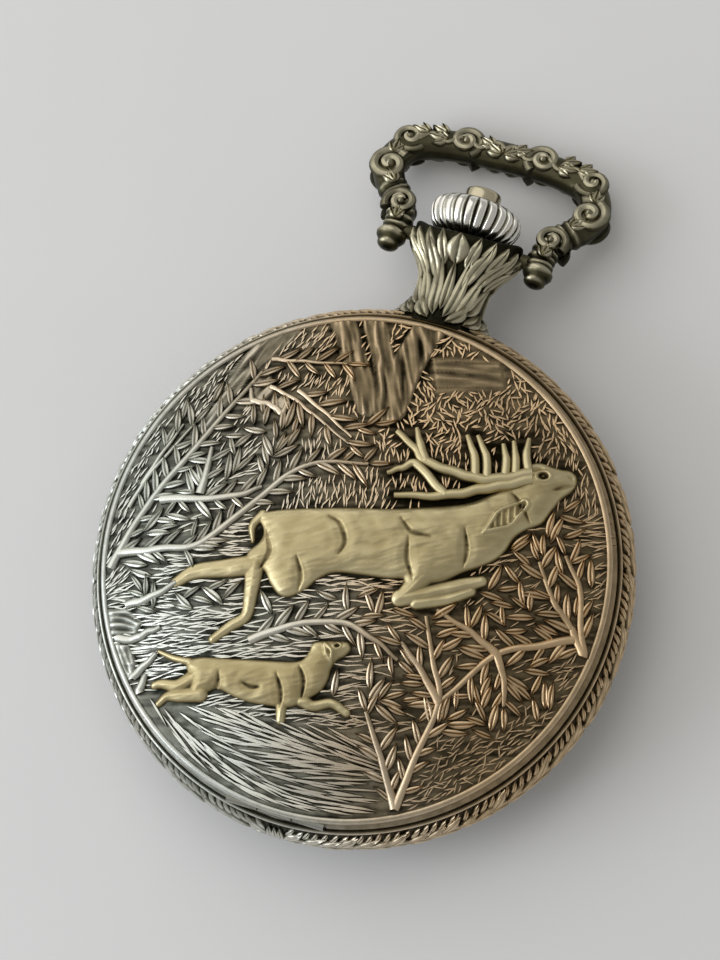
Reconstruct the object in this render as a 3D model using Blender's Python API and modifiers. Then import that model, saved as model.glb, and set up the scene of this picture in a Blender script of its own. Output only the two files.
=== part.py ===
"""Hunter pocket watch: hinged relief lid, case, bow, crown and a wound movement.

The frame has +X to 3 o'clock, +Y to the pendant and +Z from the back to the lid.
The origin is the centre of the flat that the watch rests on. Sizes are in millimetres.
"""
import math

import bmesh
import bpy
from mathutils import Matrix, Vector

MM = 0.001
TURN = 2 * math.pi

# Case
BAND_R = 24.0
BAND_BORE_R = 19.7
BAND_LOW_Z = 3.3
BAND_TOP_Z = 9.0
RIM_R = 22.7
RIM_INNER_R = 22.0
LID_LOW_Z = 9.3
LID_LINING_DROP = 0.4
WALL = 0.7
BACK_TOP_Z = 3.0
BACK_FLAT_R = 9.0
CASE_STEPS = 40
HINGE_Y = -22.35
LID_AXIS_Z = 9.1
BACK_AXIS_Z = 3.2
KNUCKLE_R = 0.5
KNUCKLE_CLEAR_R = 0.62
KNUCKLE_END_X = 4.5
MIDDLE_KNUCKLE_X = 1.5
KNUCKLE_GAP = 0.15
HINGE_PIN_R = 0.25
HINGE_BORE_R = 0.31

# Relief on the lid, drawn in the level axes of its picture, and on the band
PICTURE_TURN = math.radians(16.2)
GROUND_TOP_Z = 13.45
GROUND_FALL = 0.0069
GROUND_FALL_4 = 0.0000013
STAG_LIFT = 0.5
HOUND_LIFT = 0.42
WOOD_LIFT = 0.3
ROOT_DEPTH = 0.2
CREST_SHARE = 0.14
LEAF_MID_Z = 6.1
LEAF_RUN = 2.05
LEAF_DROP = 1.75
LEAF_HALF = 0.5
LEAF_LIFT = 0.3
LEAF_ROOT = 0.12
LEAF_PITCH = 4.64
LEAF_START = 0.8
LEAF_END = 68.0

# Pendant, bow and crown, all on the stem line
STEM_Z = 5.6
PENDANT_LOW_Y = 23.0
PENDANT_TOP_Y = 32.6
PENDANT_FLATTEN = 0.72
BOW_Y = 31.6
BOW_PIN_R = 0.75
BOW_PIN_HOLE_R = 0.85
BOW_PIN_END_X = 4.5
BOW_DROP = math.radians(20.0)
BOW_FLATTEN = 0.8
KNOB_X = 6.9
SLEEVE_R = 1.15
SLEEVE_BORE_R = 0.85
SLEEVE_LOW_Y = 23.3
SLEEVE_TOP_Y = 31.5
CROWN_LOW_Y = 32.05
CROWN_TOP_Y = 35.8
CROWN_CLEAR_R = 3.75
CROWN_WELL_Y = 33.3
CROWN_WELL_R = 1.78
CROWN_BORE_R = 0.82
CROWN_FLUTES = 20
FLUTE_DEPTH = 0.1
STEM_R = 0.75
STEM_BORE_R = 0.45
STEM_END_Y = 11.2
STEM_TOP_Y = 33.7
BUTTON_R = 1.65
BUTTON_LOW_Y = 35.4
BUTTON_TOP_Y = 37.2
BUTTON_TRAVEL = 0.7
COIL_R = 1.2
COIL_WIRE_R = 0.12
COIL_TURNS = 2.5
COIL_Y = (33.5, 34.45)
PUSH_ROD_R = 0.35
PUSH_PIN_Y = 21.75
PUSH_PIN_R = 0.2
PUSH_PIN_REACH = 1.2
CATCH_Y = 21.15
CATCH_THICK = 0.5

# Glass, dial and hands
CRYSTAL_R = 19.35
CRYSTAL_Z = (9.35, 9.75)
DIAL_R = 19.4
DIAL_Z = (7.7, 8.1)
SECOND_HAND_Z = (8.18, 8.32)
HOUR_HAND_Z = (8.45, 8.62)
MINUTE_HAND_Z = (8.8, 8.97)

# Movement heights
PLATE_Z = (6.0, 7.0)
PLATE_R = 18.2
RING_Z = (6.05, 7.6)
BRIDGE_Z = (3.45, 4.35)
BRIDGE_R = 17.7
FOOT_TOP_Z = 5.92
FOOT_R = 1.6
SCREW_HOLE_R = 0.5
WINDING_Z = (3.02, 3.35)
LEVEL_A = (4.5, 4.75)
LEVEL_B = (4.85, 5.1)
LEVEL_C = (5.18, 5.43)
LEVEL_D = (5.58, 5.83)
MOTION_LOW = (7.08, 7.28)
MOTION_TOP = (7.36, 7.58)

# Movement plan
CENTRE = (0.0, 0.0)
BARREL = (-6.0, 5.9)
THIRD = (4.22, -5.27)
FOURTH = (0.0, -8.8)
ESCAPE = (-4.605, -10.476)
PALLET = (-7.36, -8.886)
BALANCE = (-10.28, -7.2)
CROWN_WHEEL = (0.0, 12.2)
MINUTE_WHEEL = (3.464, -2.0)
CLICK = (-12.6, 4.2)
COCK_FOOT = (-14.2, -0.7)
SETTING_PIVOT = (3.6, 14.2)
BARREL_BRIDGE_FEET = ((12.5, 6.2), (-4.2, 15.6), (-15.2, 3.8))
TRAIN_BRIDGE_FEET = ((13.2, -5.5), (3.0, -15.3))
DOG_SCREWS = ((17.3, 0.0), (-10.6, 14.0))

# Tooth counts: each pair is wheel and pinion
BARREL_TEETH = (48, 8)
CENTRE_TEETH = (48, 6)
THIRD_TEETH = (45, 6)
FOURTH_TEETH = (48, 6)
ESCAPE_TEETH = 15
CROWN_WHEEL_TEETH = 24
RATCHET_TEETH = 34
CANNON_TEETH = (24, 8)
HOUR_TEETH = (24, 6)
WHEEL_TOOTH = (0.65, 0.95, 0.28, 0.0)
PINION_LEAF = (0.45, 1.0, 0.18, 0.09)

for old in list(bpy.data.objects):
    bpy.data.objects.remove(old, do_unlink=True)

WATCH = bpy.data.collections.new("hunter_pocket_watch")
CUTTERS = bpy.data.collections.new("cutters")
bpy.context.scene.collection.children.link(WATCH)
bpy.context.scene.collection.children.link(CUTTERS)


def finish(name, colour, roughness, metallic=1.0):
    """Make a Principled material with a base colour, roughness and metallic value."""
    material = bpy.data.materials.new(name)
    material.use_nodes = True
    shader = material.node_tree.nodes["Principled BSDF"]
    shader.inputs["Base Color"].default_value = (*colour, 1.0)
    shader.inputs["Roughness"].default_value = roughness
    shader.inputs["Metallic"].default_value = metallic
    return material


SILVER = finish("antique_silver", (0.36, 0.35, 0.31), 0.35)
STEEL = finish("polished_steel", (0.55, 0.56, 0.58), 0.25)
BLUED = finish("blued_steel", (0.05, 0.08, 0.25), 0.3)
BRASS = finish("brass", (0.66, 0.47, 0.2), 0.3)
NICKEL = finish("nickel_plate", (0.6, 0.58, 0.53), 0.35)
ENAMEL = finish("white_enamel", (0.85, 0.84, 0.79), 0.25, 0.0)
GLASS = finish("crystal_glass", (0.9, 0.93, 0.93), 0.05, 0.0)


def add_mesh(name, mesh, material, collection=WATCH):
    """Put a mesh in the scene as a named object; cutters are hidden wires."""
    piece = bpy.data.objects.new(name, mesh)
    collection.objects.link(piece)
    if material:
        mesh.materials.append(material)
    if collection is CUTTERS:
        piece.hide_render = True
        piece.display_type = "WIRE"
    return piece


def lay(piece, x=0.0, y=0.0, z=0.0):
    """Set an object's place in millimetres."""
    piece.location = (x * MM, y * MM, z * MM)
    return piece


def turned(name, profile, steps, material, closed=False, along_y=False, collection=WATCH):
    """Turn a profile of (radius, height) points, top to bottom on its outer side."""
    mesh = bpy.data.meshes.new(name)
    edges = [(i, i + 1) for i in range(len(profile) - 1)]
    if closed:
        edges.append((len(profile) - 1, 0))
    mesh.from_pydata([(r * MM, 0.0, h * MM) for r, h in profile], edges, [])
    piece = add_mesh(name, mesh, material, collection)
    screw = piece.modifiers.new("turn", "SCREW")
    screw.steps = steps
    screw.render_steps = steps
    screw.use_merge_vertices = True
    screw.merge_threshold = 0.000001
    if along_y:
        piece.rotation_euler = (-math.pi / 2, 0.0, 0.0)
        lay(piece, 0.0, 0.0, STEM_Z)
    return piece


def rod(name, radius, start, end, material, sides=12, collection=WATCH):
    """Make a round rod between two points."""
    first = Vector(start) * MM
    last = Vector(end) * MM
    run = last - first
    turn = run.to_track_quat("Z", "Y").to_matrix().to_4x4()
    bm = bmesh.new()
    bmesh.ops.create_cone(bm, cap_ends=True, segments=sides, radius1=radius * MM,
                          radius2=radius * MM, depth=run.length,
                          matrix=Matrix.Translation((first + last) / 2) @ turn)
    mesh = bpy.data.meshes.new(name)
    bm.to_mesh(mesh)
    bm.free()
    return add_mesh(name, mesh, material, collection)


def box(name, low, high, material, collection=WATCH):
    """Make a block between two corners."""
    size = Vector(high) - Vector(low)
    middle = (Vector(high) + Vector(low)) / 2
    bm = bmesh.new()
    bmesh.ops.create_cube(bm, size=1.0)
    bmesh.ops.scale(bm, vec=size * MM, verts=bm.verts)
    bmesh.ops.translate(bm, vec=middle * MM, verts=bm.verts)
    mesh = bpy.data.meshes.new(name)
    bm.to_mesh(mesh)
    bm.free()
    return add_mesh(name, mesh, material, collection)


def mesh_of(curve_piece, name):
    """Turn an evaluated curve object into a welded mesh and remove the curve."""
    graph = bpy.context.evaluated_depsgraph_get()
    mesh = bpy.data.meshes.new_from_object(curve_piece.evaluated_get(graph))
    mesh.name = name
    mesh.transform(curve_piece.matrix_world)
    bpy.data.objects.remove(curve_piece, do_unlink=True)
    bm = bmesh.new()
    bm.from_mesh(mesh)
    bmesh.ops.remove_doubles(bm, verts=bm.verts, dist=0.0000005)
    bmesh.ops.recalc_face_normals(bm, faces=bm.faces)
    bm.to_mesh(mesh)
    bm.free()
    mesh.materials.clear()
    return mesh


def plate(name, outlines, z_span, material, centre=CENTRE, collection=WATCH):
    """Extrude flat outlines, the first one outside and the rest holes, between two heights."""
    curve = bpy.data.curves.new(name, "CURVE")
    curve.dimensions = "2D"
    curve.fill_mode = "BOTH"
    curve.extrude = (z_span[1] - z_span[0]) / 2 * MM
    for outline in outlines:
        spline = curve.splines.new("POLY")
        spline.points.add(len(outline) - 1)
        for point, (x, y) in zip(spline.points, outline):
            point.co = (x * MM, y * MM, 0.0, 1.0)
        spline.use_cyclic_u = True
    sketch = bpy.data.objects.new(name + "_outline", curve)
    bpy.context.scene.collection.objects.link(sketch)
    mesh = mesh_of(sketch, name)
    mesh.transform(Matrix.Translation((0.0, 0.0, (z_span[0] + z_span[1]) / 2 * MM)))
    piece = add_mesh(name, mesh, material, collection)
    return lay(piece, centre[0], centre[1])


def boolean(piece, tool, operation):
    """Cut a piece with a tool, or join the tool to it."""
    modifier = piece.modifiers.new(tool.name, "BOOLEAN")
    modifier.operation = operation
    modifier.solver = "EXACT"
    modifier.object = tool
    return piece


def cut(piece, *tools):
    """Cut tools away from a piece."""
    for tool in tools:
        boolean(piece, tool, "DIFFERENCE")
    return piece


def join(piece, *tools):
    """Join tools to a piece as one body."""
    for tool in tools:
        boolean(piece, tool, "UNION")
    return piece


def circle(radius, count, centre=CENTRE):
    """Points of a circle."""
    return arc(centre, radius, 0.0, TURN * (count - 1) / count, count)


def arc(centre, radius, start, end, count):
    """Points of an arc from one angle to another."""
    angles = [start + (end - start) * i / (count - 1) for i in range(count)]
    return [(centre[0] + radius * math.cos(a), centre[1] + radius * math.sin(a)) for a in angles]


def bearing(start, end):
    """Direction from one plan point to another."""
    return math.atan2(end[1] - start[1], end[0] - start[0])


def spacing(start, end):
    """Distance between two plan points."""
    return math.hypot(end[0] - start[0], end[1] - start[1])


def pitch_radii(start, end, teeth):
    """Share a centre distance between a wheel and a pinion by their tooth counts."""
    unit = spacing(start, end) / sum(teeth)
    return teeth[0] * unit, teeth[1] * unit


def gear(teeth, pitch_r, form, phase):
    """Outline of a toothed wheel with one tooth centred on the phase angle."""
    addendum, dedendum, root_half, tip_half = form
    module = 2 * pitch_r / teeth
    step = TURN / teeth
    root_r = pitch_r - dedendum * module
    tip_r = pitch_r + addendum * module
    tips = (-tip_half, tip_half) if tip_half else (0.0,)
    corners = [(-root_half, root_r)] + [(t, tip_r) for t in tips] + [(root_half, root_r)]
    points = []
    for tooth in range(teeth):
        for share, radius in corners:
            angle = phase + (tooth + share) * step
            points.append((radius * math.cos(angle), radius * math.sin(angle)))
    return points


def gap_phase(towards, teeth):
    """Phase that turns a tooth gap towards a direction."""
    return towards + math.pi / teeth


def pinion(teeth, pitch_r, centre, mate):
    """Outline of a pinion with a gap turned towards the wheel that it mates with."""
    return gear(teeth, pitch_r, PINION_LEAF, gap_phase(bearing(centre, mate), teeth))


def spiral(inner_r, outer_r, turns, points_per_turn, thickness):
    """Outline of a flat spiral strip, out along one side and back along the other."""
    count = int(turns * points_per_turn) + 1
    ahead = []
    back = []
    for i in range(count):
        angle = TURN * turns * i / (count - 1)
        radius = inner_r + (outer_r - inner_r) * i / (count - 1)
        direction = Vector((math.cos(angle), math.sin(angle)))
        ahead.append(tuple(direction * (radius + thickness / 2)))
        back.append(tuple(direction * (radius - thickness / 2)))
    print("least gap between spiral turns, mm:", round((outer_r - inner_r) / turns - thickness, 3))
    return ahead + back[::-1]


def smooth_path(points, parts):
    """Points of a smooth curve through the given ones, each stretch in equal parts."""
    path = []
    for i in range(len(points) - 1):
        before = Vector(points[max(i - 1, 0)])
        start = Vector(points[i])
        end = Vector(points[i + 1])
        after = Vector(points[min(i + 2, len(points) - 1)])
        for k in range(parts):
            t = k / parts
            pull = (end - before) * t + (2 * before - 5 * start + 4 * end - after) * t ** 2
            path.append(start + (pull + (3 * start - before - 3 * end + after) * t ** 3) / 2)
    path.append(Vector(points[-1]))
    return path


def tube(name, path, radii, material, collection=WATCH, resolution=2, cyclic=False):
    """Sweep a round section of changing radius along points."""
    curve = bpy.data.curves.new(name, "CURVE")
    curve.dimensions = "3D"
    curve.bevel_depth = MM
    curve.bevel_resolution = resolution
    curve.use_fill_caps = True
    spline = curve.splines.new("POLY")
    spline.points.add(len(path) - 1)
    for point, place, radius in zip(spline.points, path, radii):
        point.co = (*(Vector(place) * MM), 1.0)
        point.radius = radius
    spline.use_cyclic_u = cyclic
    wire = bpy.data.objects.new(name + "_wire", curve)
    bpy.context.scene.collection.objects.link(wire)
    return add_mesh(name, mesh_of(wire, name), material, collection)


def screw(name, centre, head_r, head_z, shank_r, shank_end_z, material):
    """Make a headed screw along +Z, with its head towards the back of the watch."""
    profile = [(0.0, shank_end_z), (shank_r, shank_end_z), (shank_r, head_z[1]),
               (head_r, head_z[1]), (head_r, head_z[0]), (0.0, head_z[0])]
    return lay(turned(name, profile, 12, material), *centre)


def band_profile(grow):
    """Outer side of the case band, top to bottom, moved out by a given amount."""
    side = [(22.3, BAND_TOP_Z), (22.95, 8.7), (23.6, 7.6), (BAND_R, 6.1),
            (23.85, 5.0), (23.3, 3.9), (22.4, BAND_LOW_Z)]
    return [(r + grow, z) for r, z in side]


def hinge_tools(name, axis_z):
    """Knuckles and clearances of a case hinge at 6 o'clock, as union and cut tools."""
    inner = MIDDLE_KNUCKLE_X
    outer_start = inner + KNUCKLE_GAP
    spans = {"left": (-KNUCKLE_END_X, -outer_start), "middle": (-inner, inner),
             "right": (outer_start, KNUCKLE_END_X)}
    tools = {}
    for side, (low, high) in spans.items():
        start = (low, HINGE_Y, axis_z)
        end = (high, HINGE_Y, axis_z)
        tools[side] = rod(f"{name}_{side}_knuckle", KNUCKLE_R, start, end, None, 12, CUTTERS)
        wide_start = (low - KNUCKLE_GAP / 2, HINGE_Y, axis_z)
        wide_end = (high + KNUCKLE_GAP / 2, HINGE_Y, axis_z)
        tools[side + "_clear"] = rod(f"{name}_{side}_clear", KNUCKLE_CLEAR_R, wide_start, wide_end,
                                     None, 12, CUTTERS)
    start = (-KNUCKLE_END_X - 1.0, HINGE_Y, axis_z)
    end = (KNUCKLE_END_X + 1.0, HINGE_Y, axis_z)
    tools["bore"] = rod(f"{name}_bore", HINGE_BORE_R, start, end, None, 12, CUTTERS)
    return tools


def hinge_pin(name, axis_z):
    """Pin of a case hinge."""
    start = (-KNUCKLE_END_X, HINGE_Y, axis_z)
    end = (KNUCKLE_END_X, HINGE_Y, axis_z)
    return rod(name, HINGE_PIN_R, start, end, STEEL)


def lid_ground(radius):
    """Height of the lid's sunken ground at a radius."""
    return GROUND_TOP_Z - GROUND_FALL * radius ** 2 - GROUND_FALL_4 * radius ** 4


def on_lid(place, lift):
    """Turn a point of the lid's picture into one above the lid's ground."""
    u, v = place
    x = u * math.cos(PICTURE_TURN) - v * math.sin(PICTURE_TURN)
    y = v * math.cos(PICTURE_TURN) + u * math.sin(PICTURE_TURN)
    return x, y, lid_ground(math.hypot(x, y)) + lift


def strip(path, widths):
    """Lines across a stroke: its two sides at each point of a path."""
    lines = []
    for i in range(len(path)):
        run = Vector(path[min(i + 1, len(path) - 1)]) - Vector(path[max(i - 1, 0)])
        side = Vector((run.y, -run.x)).normalized() * widths[i]
        lines.append((Vector(path[i]) + side, Vector(path[i]) - side))
    return lines


def ridge(name, lines, lift):
    """Raised form with sloping flanks over lines across it, rooted in the lid's ground."""
    bm = bmesh.new()
    rows = []
    for first, second in lines:
        start = Vector(first)
        end = Vector(second)
        inset = (end - start) * CREST_SHARE
        corners = [on_lid(start, -ROOT_DEPTH), on_lid(start + inset, lift),
                   on_lid(end - inset, lift), on_lid(end, -ROOT_DEPTH)]
        rows.append([bm.verts.new(Vector(corner) * MM) for corner in corners])
    for row, after in zip(rows, rows[1:]):
        for k in range(4):
            bm.faces.new((row[k], row[(k + 1) % 4], after[(k + 1) % 4], after[k]))
    bm.faces.new(rows[0])
    bm.faces.new(rows[-1][::-1])
    bmesh.ops.recalc_face_normals(bm, faces=bm.faces)
    mesh = bpy.data.meshes.new(name)
    bm.to_mesh(mesh)
    bm.free()
    return add_mesh(name, mesh, None, CUTTERS)


def hunt_figures():
    """Main forms of the lid's hunting scene: a stag, a hound, trees and branches."""
    stag = [((-8.7, 0.0), (-7.9, 3.6)), ((-6.6, -2.4), (-6.2, 4.2)), ((-4.6, -3.3), (-4.2, 4.3)),
            ((-2.0, -1.8), (-2.0, 4.4)), ((1.5, -1.6), (1.5, 4.4)), ((5.2, -2.9), (5.0, 4.3)),
            ((8.4, -2.1), (8.2, 4.6)), ((11.4, -0.8), (10.8, 5.1)), ((13.8, 1.0), (12.6, 6.0)),
            ((15.6, 2.8), (14.4, 7.6)), ((17.2, 3.7), (15.6, 8.7)), ((18.6, 5.4), (17.4, 8.3)),
            ((19.2, 6.5), (18.9, 7.2))]
    hound = [((-14.0, -11.4), (-14.1, -8.9)), ((-12.4, -11.5), (-12.4, -8.5)), ((-9.8, -12.0), (-9.8, -8.7)),
             ((-6.5, -12.8), (-6.5, -8.9)), ((-3.8, -12.5), (-4.0, -8.9)), ((-1.6, -10.9), (-2.9, -7.6)),
             ((-0.3, -8.9), (-1.4, -7.3)), ((0.5, -8.1), (0.3, -7.4))]
    pieces = [ridge("stag", stag, STAG_LIFT), ridge("hound", hound, HOUND_LIFT)]
    limbs = [([(-8.1, -0.2), (-8.4, -2.9), (-8.6, -5.4), (-10.8, -7.0)], [0.95, 0.7, 0.5, 0.4], STAG_LIFT),
             ([(-8.0, -0.3), (-11.5, -0.8), (-15.4, -1.9)], [0.95, 0.8, 0.5], STAG_LIFT),
             ([(4.6, -3.4), (8.0, -3.2), (11.6, -2.3)], [0.7, 0.9, 0.6], STAG_LIFT),
             ([(14.1, 6.7), (9.7, 5.7), (4.0, 5.5)], [0.42, 0.38, 0.22], STAG_LIFT),
             ([(13.9, 7.1), (10.2, 7.3), (6.4, 8.7), (4.0, 11.3)], [0.42, 0.38, 0.34, 0.22], STAG_LIFT),
             ([(10.9, 7.4), (10.2, 10.8)], [0.34, 0.2], STAG_LIFT),
             ([(13.5, 7.0), (13.2, 10.1)], [0.34, 0.2], STAG_LIFT),
             ([(-13.0, -10.9), (-15.0, -11.3), (-17.0, -11.5)], [0.9, 0.7, 0.4], HOUND_LIFT),
             ([(-13.6, -9.2), (-16.8, -7.9)], [0.4, 0.25], HOUND_LIFT),
             ([(-4.6, -12.1), (-2.6, -12.8), (0.2, -13.4)], [0.7, 0.5, 0.4], HOUND_LIFT),
             ([(-5.4, -12.0), (-5.6, -14.0)], [0.65, 0.45], HOUND_LIFT),
             ([(-1.4, 21.2), (-0.2, 18.3), (1.3, 13.9)], [1.0, 1.0, 1.0], WOOD_LIFT),
             ([(1.5, 21.3), (2.4, 18.0), (2.6, 14.0)], [0.9, 0.9, 0.9], WOOD_LIFT),
             ([(6.0, 20.5), (4.6, 18.0), (3.2, 13.6)], [1.3, 1.4, 1.4], WOOD_LIFT),
             ([(-8.6, 17.4), (-13.4, 11.4), (-20.4, 2.6)], [0.34, 0.34, 0.3], WOOD_LIFT),
             ([(-20.7, 1.6), (-13.1, 1.6), (-3.9, 8.3), (1.6, 8.4)], [0.34, 0.34, 0.3, 0.22], WOOD_LIFT),
             ([(-17.2, 5.7), (-7.8, 6.4)], [0.3, 0.22], WOOD_LIFT),
             ([(19.6, -6.7), (13.0, -8.2), (7.9, -12.7)], [0.34, 0.32, 0.3], WOOD_LIFT),
             ([(19.8, -6.9), (17.6, -3.2), (16.5, -0.1)], [0.34, 0.3, 0.22], WOOD_LIFT),
             ([(4.4, -20.8), (8.1, -12.4), (7.0, -5.1)], [0.34, 0.32, 0.24], WOOD_LIFT),
             ([(4.4, -20.8), (1.9, -13.3)], [0.34, 0.24], WOOD_LIFT),
             ([(13.0, -8.2), (7.9, -4.6)], [0.3, 0.22], WOOD_LIFT),
             ([(-8.4, -7.0), (-0.4, -5.7), (4.6, -8.9)], [0.22, 0.3, 0.24], WOOD_LIFT)]
    for i, (path, widths, lift) in enumerate(limbs):
        pieces.append(ridge(f"hunt_stroke_{i}", strip(path, widths), lift))
    return pieces


def on_band(way, z, lift):
    """Point above the outside of the band, this way round from 6 o'clock."""
    side = band_profile(lift)
    radius = side[0][0]
    for (r, high), (next_r, low) in zip(side, side[1:]):
        if low <= z <= high:
            radius = r + (next_r - r) * (high - z) / (high - low)
    angle = way / BAND_R - math.pi / 2
    return Vector((radius * math.cos(angle), radius * math.sin(angle), z)) * MM


def garland():
    """Main leaves of the band's garland, in two rows that lean towards the pendant."""
    bm = bmesh.new()
    count = int((LEAF_END - LEAF_START) / LEAF_PITCH) + 1
    slope = math.atan2(LEAF_DROP, LEAF_RUN)
    for way in (-1, 1):
        for row in (-1, 1):
            for i in range(count):
                start = LEAF_START + LEAF_PITCH * i
                mid = start + LEAF_RUN / 2
                mid_z = LEAF_MID_Z + row * LEAF_DROP / 2
                across = LEAF_HALF * math.sin(slope)
                up = row * LEAF_HALF * math.cos(slope)
                rim = [on_band(way * start, LEAF_MID_Z, -LEAF_ROOT),
                       on_band(way * (mid - across), mid_z + up, -LEAF_ROOT),
                       on_band(way * (start + LEAF_RUN), LEAF_MID_Z + row * LEAF_DROP, -LEAF_ROOT),
                       on_band(way * (mid + across), mid_z - up, -LEAF_ROOT)]
                loop = [bm.verts.new(point) for point in rim]
                crest = bm.verts.new(on_band(way * mid, mid_z, LEAF_LIFT))
                root = bm.verts.new(on_band(way * mid, mid_z, -2 * LEAF_LIFT))
                for k in range(4):
                    bm.faces.new((loop[k], loop[(k + 1) % 4], crest))
                    bm.faces.new((loop[(k + 1) % 4], loop[k], root))
    bmesh.ops.recalc_face_normals(bm, faces=bm.faces)
    mesh = bpy.data.meshes.new("garland")
    bm.to_mesh(mesh)
    bm.free()
    return add_mesh("garland", mesh, None, CUTTERS)


def make_case():
    """Band, lid and back with their hinges, bezel, crystal and lid springs."""
    lid_tools = hinge_tools("lid_hinge", LID_AXIS_Z)
    back_tools = hinge_tools("back_hinge", BACK_AXIS_Z)

    profile = band_profile(0.0) + [(BAND_BORE_R, BAND_LOW_Z), (BAND_BORE_R, BAND_TOP_Z)]
    band = turned("case_band", profile, CASE_STEPS, SILVER, closed=True)
    stem_hole = rod("stem_hole", 1.25, (0, 18.0, STEM_Z), (0, 25.0, STEM_Z), None, 16, CUTTERS)
    pin_room = rod("push_pin_room", 1.5, (0, 22.0, STEM_Z), (0, 23.2, STEM_Z), None, 16, CUTTERS)
    catch_slot = box("catch_slot", (-3.2, 20.1, 4.2), (3.2, 22.3, 9.5), None, CUTTERS)
    groove_outline = annular_sector(20.75, 21.55, -2.3, -0.85, 14)
    groove = plate("lift_spring_groove", [groove_outline], (7.5, 9.6), None, collection=CUTTERS)
    cut(band, stem_hole, pin_room, catch_slot, groove)
    cut(band, lid_tools["middle_clear"], back_tools["middle_clear"])
    for tools in (lid_tools, back_tools):
        join(band, tools["left"], tools["right"])
        cut(band, tools["bore"])
    join(band, garland())
    hinge_pin("lid_hinge_pin", LID_AXIS_Z)
    hinge_pin("back_hinge_pin", BACK_AXIS_Z)
    plate("lid_lift_spring", [annular_sector(21.0, 21.3, -2.25, -0.9, 14)], (7.7, 8.8), STEEL)

    rings = [0.0, 6.0, 12.0, 17.0, 20.4]
    lid_ground_side = [(r, lid_ground(r)) for r in rings] + [(21.7, lid_ground(21.6))]
    lid_rim = [(21.9, 10.05), (22.2, 10.16), (22.5, 10.05), (RIM_R, 9.72), (RIM_R, LID_LOW_Z)]
    lid_inner = [(RIM_INNER_R, LID_LOW_Z), (RIM_INNER_R, 9.74)]
    lid_inner += [(r, lid_ground(r) - LID_LINING_DROP) for r in rings[::-1]]
    lid = turned("lid", lid_ground_side + lid_rim + lid_inner, CASE_STEPS, SILVER)
    join(lid, *hunt_figures())
    cut(lid, lid_tools["left_clear"], lid_tools["right_clear"])
    join(lid, lid_tools["middle"])
    cut(lid, lid_tools["bore"])

    back_inner = [(0.0, WALL), (BACK_FLAT_R, WALL), (17.0, 1.55), (21.2, 2.6),
                  (RIM_INNER_R, BACK_TOP_Z)]
    back_outer = [(RIM_R, BACK_TOP_Z), (RIM_R, 2.4), (21.6, 1.85), (17.0, 0.85), (13.0, 0.28),
                  (BACK_FLAT_R, 0.0), (0.0, 0.0)]
    back = turned("back_cover", back_inner + back_outer, CASE_STEPS, SILVER)
    cut(back, back_tools["left_clear"], back_tools["right_clear"])
    join(back, back_tools["middle"])
    cut(back, back_tools["bore"])

    bezel = [(19.4, 9.95), (19.85, 9.75), (20.05, 9.4), (20.05, 9.08), (18.8, 9.08), (18.8, 9.28),
             (19.42, 9.28), (19.42, 9.82), (18.8, 9.82), (18.8, 9.92)]
    turned("bezel", bezel, CASE_STEPS, SILVER, closed=True)
    low, high = CRYSTAL_Z
    glass = [(0.0, high), (CRYSTAL_R, high), (CRYSTAL_R, low), (0.0, low)]
    turned("crystal", glass, CASE_STEPS, GLASS)


def annular_sector(inner_r, outer_r, start, end, count):
    """Outline of a piece of a flat ring."""
    return arc(CENTRE, outer_r, start, end, count) + arc(CENTRE, inner_r, end, start, count)


def make_pendant():
    """Flared pendant neck with its ears, and the sleeve that guides the stem."""
    profile = [(0.0, PENDANT_TOP_Y), (4.7, PENDANT_TOP_Y), (5.1, 32.0), (5.05, 31.2), (4.5, 30.2),
               (3.5, 29.0), (2.95, 27.6), (2.95, 26.2), (3.45, 25.0), (4.0, 24.0),
               (4.5, PENDANT_LOW_Y), (0.0, PENDANT_LOW_Y)]
    pendant = turned("pendant", profile, 24, SILVER, along_y=True)
    pendant.scale = (1.0, PENDANT_FLATTEN, 1.0)
    band_side = [(0.0, BAND_TOP_Z + 0.12)] + band_profile(0.12) + [(0.0, BAND_LOW_Z - 0.12)]
    band_shape = turned("band_shape", band_side, CASE_STEPS, None, collection=CUTTERS)
    bore = rod("pendant_bore", 1.25, (0, 22.0, STEM_Z), (0, 34.0, STEM_Z), None, 16, CUTTERS)
    crown_room = rod("crown_room", CROWN_CLEAR_R, (0, 31.8, STEM_Z), (0, 36.0, STEM_Z), None, 32, CUTTERS)
    pivots = rod("bow_pivots", BOW_PIN_HOLE_R, (-7.0, BOW_Y, STEM_Z), (7.0, BOW_Y, STEM_Z), None, 16, CUTTERS)
    core_r = BOW_PIN_HOLE_R + 0.3
    core = rod("pivot_core", core_r, (-4.3, BOW_Y, STEM_Z), (4.3, BOW_Y, STEM_Z), None, 16, CUTTERS)
    cut(pivots, core)
    cut(pendant, band_shape, bore, crown_room, pivots)
    sleeve = [(SLEEVE_R, SLEEVE_TOP_Y), (SLEEVE_R, SLEEVE_LOW_Y), (SLEEVE_BORE_R, SLEEVE_LOW_Y),
              (SLEEVE_BORE_R, SLEEVE_TOP_Y)]
    turned("stem_sleeve", sleeve, 16, BRASS, closed=True, along_y=True)


def lobe(name, place, radius):
    """Flattened ball that gives the bow a scroll's bulge."""
    bm = bmesh.new()
    bmesh.ops.create_uvsphere(bm, u_segments=12, v_segments=6, radius=radius * MM)
    bmesh.ops.scale(bm, vec=(1.0, 1.0, BOW_FLATTEN), verts=bm.verts)
    bmesh.ops.translate(bm, vec=Vector((*place, 0.0)) * MM, verts=bm.verts)
    mesh = bpy.data.meshes.new(name)
    bm.to_mesh(mesh)
    bm.free()
    return hang(add_mesh(name, mesh, None, CUTTERS))


def hang(piece):
    """Put a piece of the bow on the pivot line, dropped to its rest."""
    lay(piece, 0.0, BOW_Y, STEM_Z)
    piece.rotation_euler = (-BOW_DROP, 0.0, 0.0)
    return piece


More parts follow.
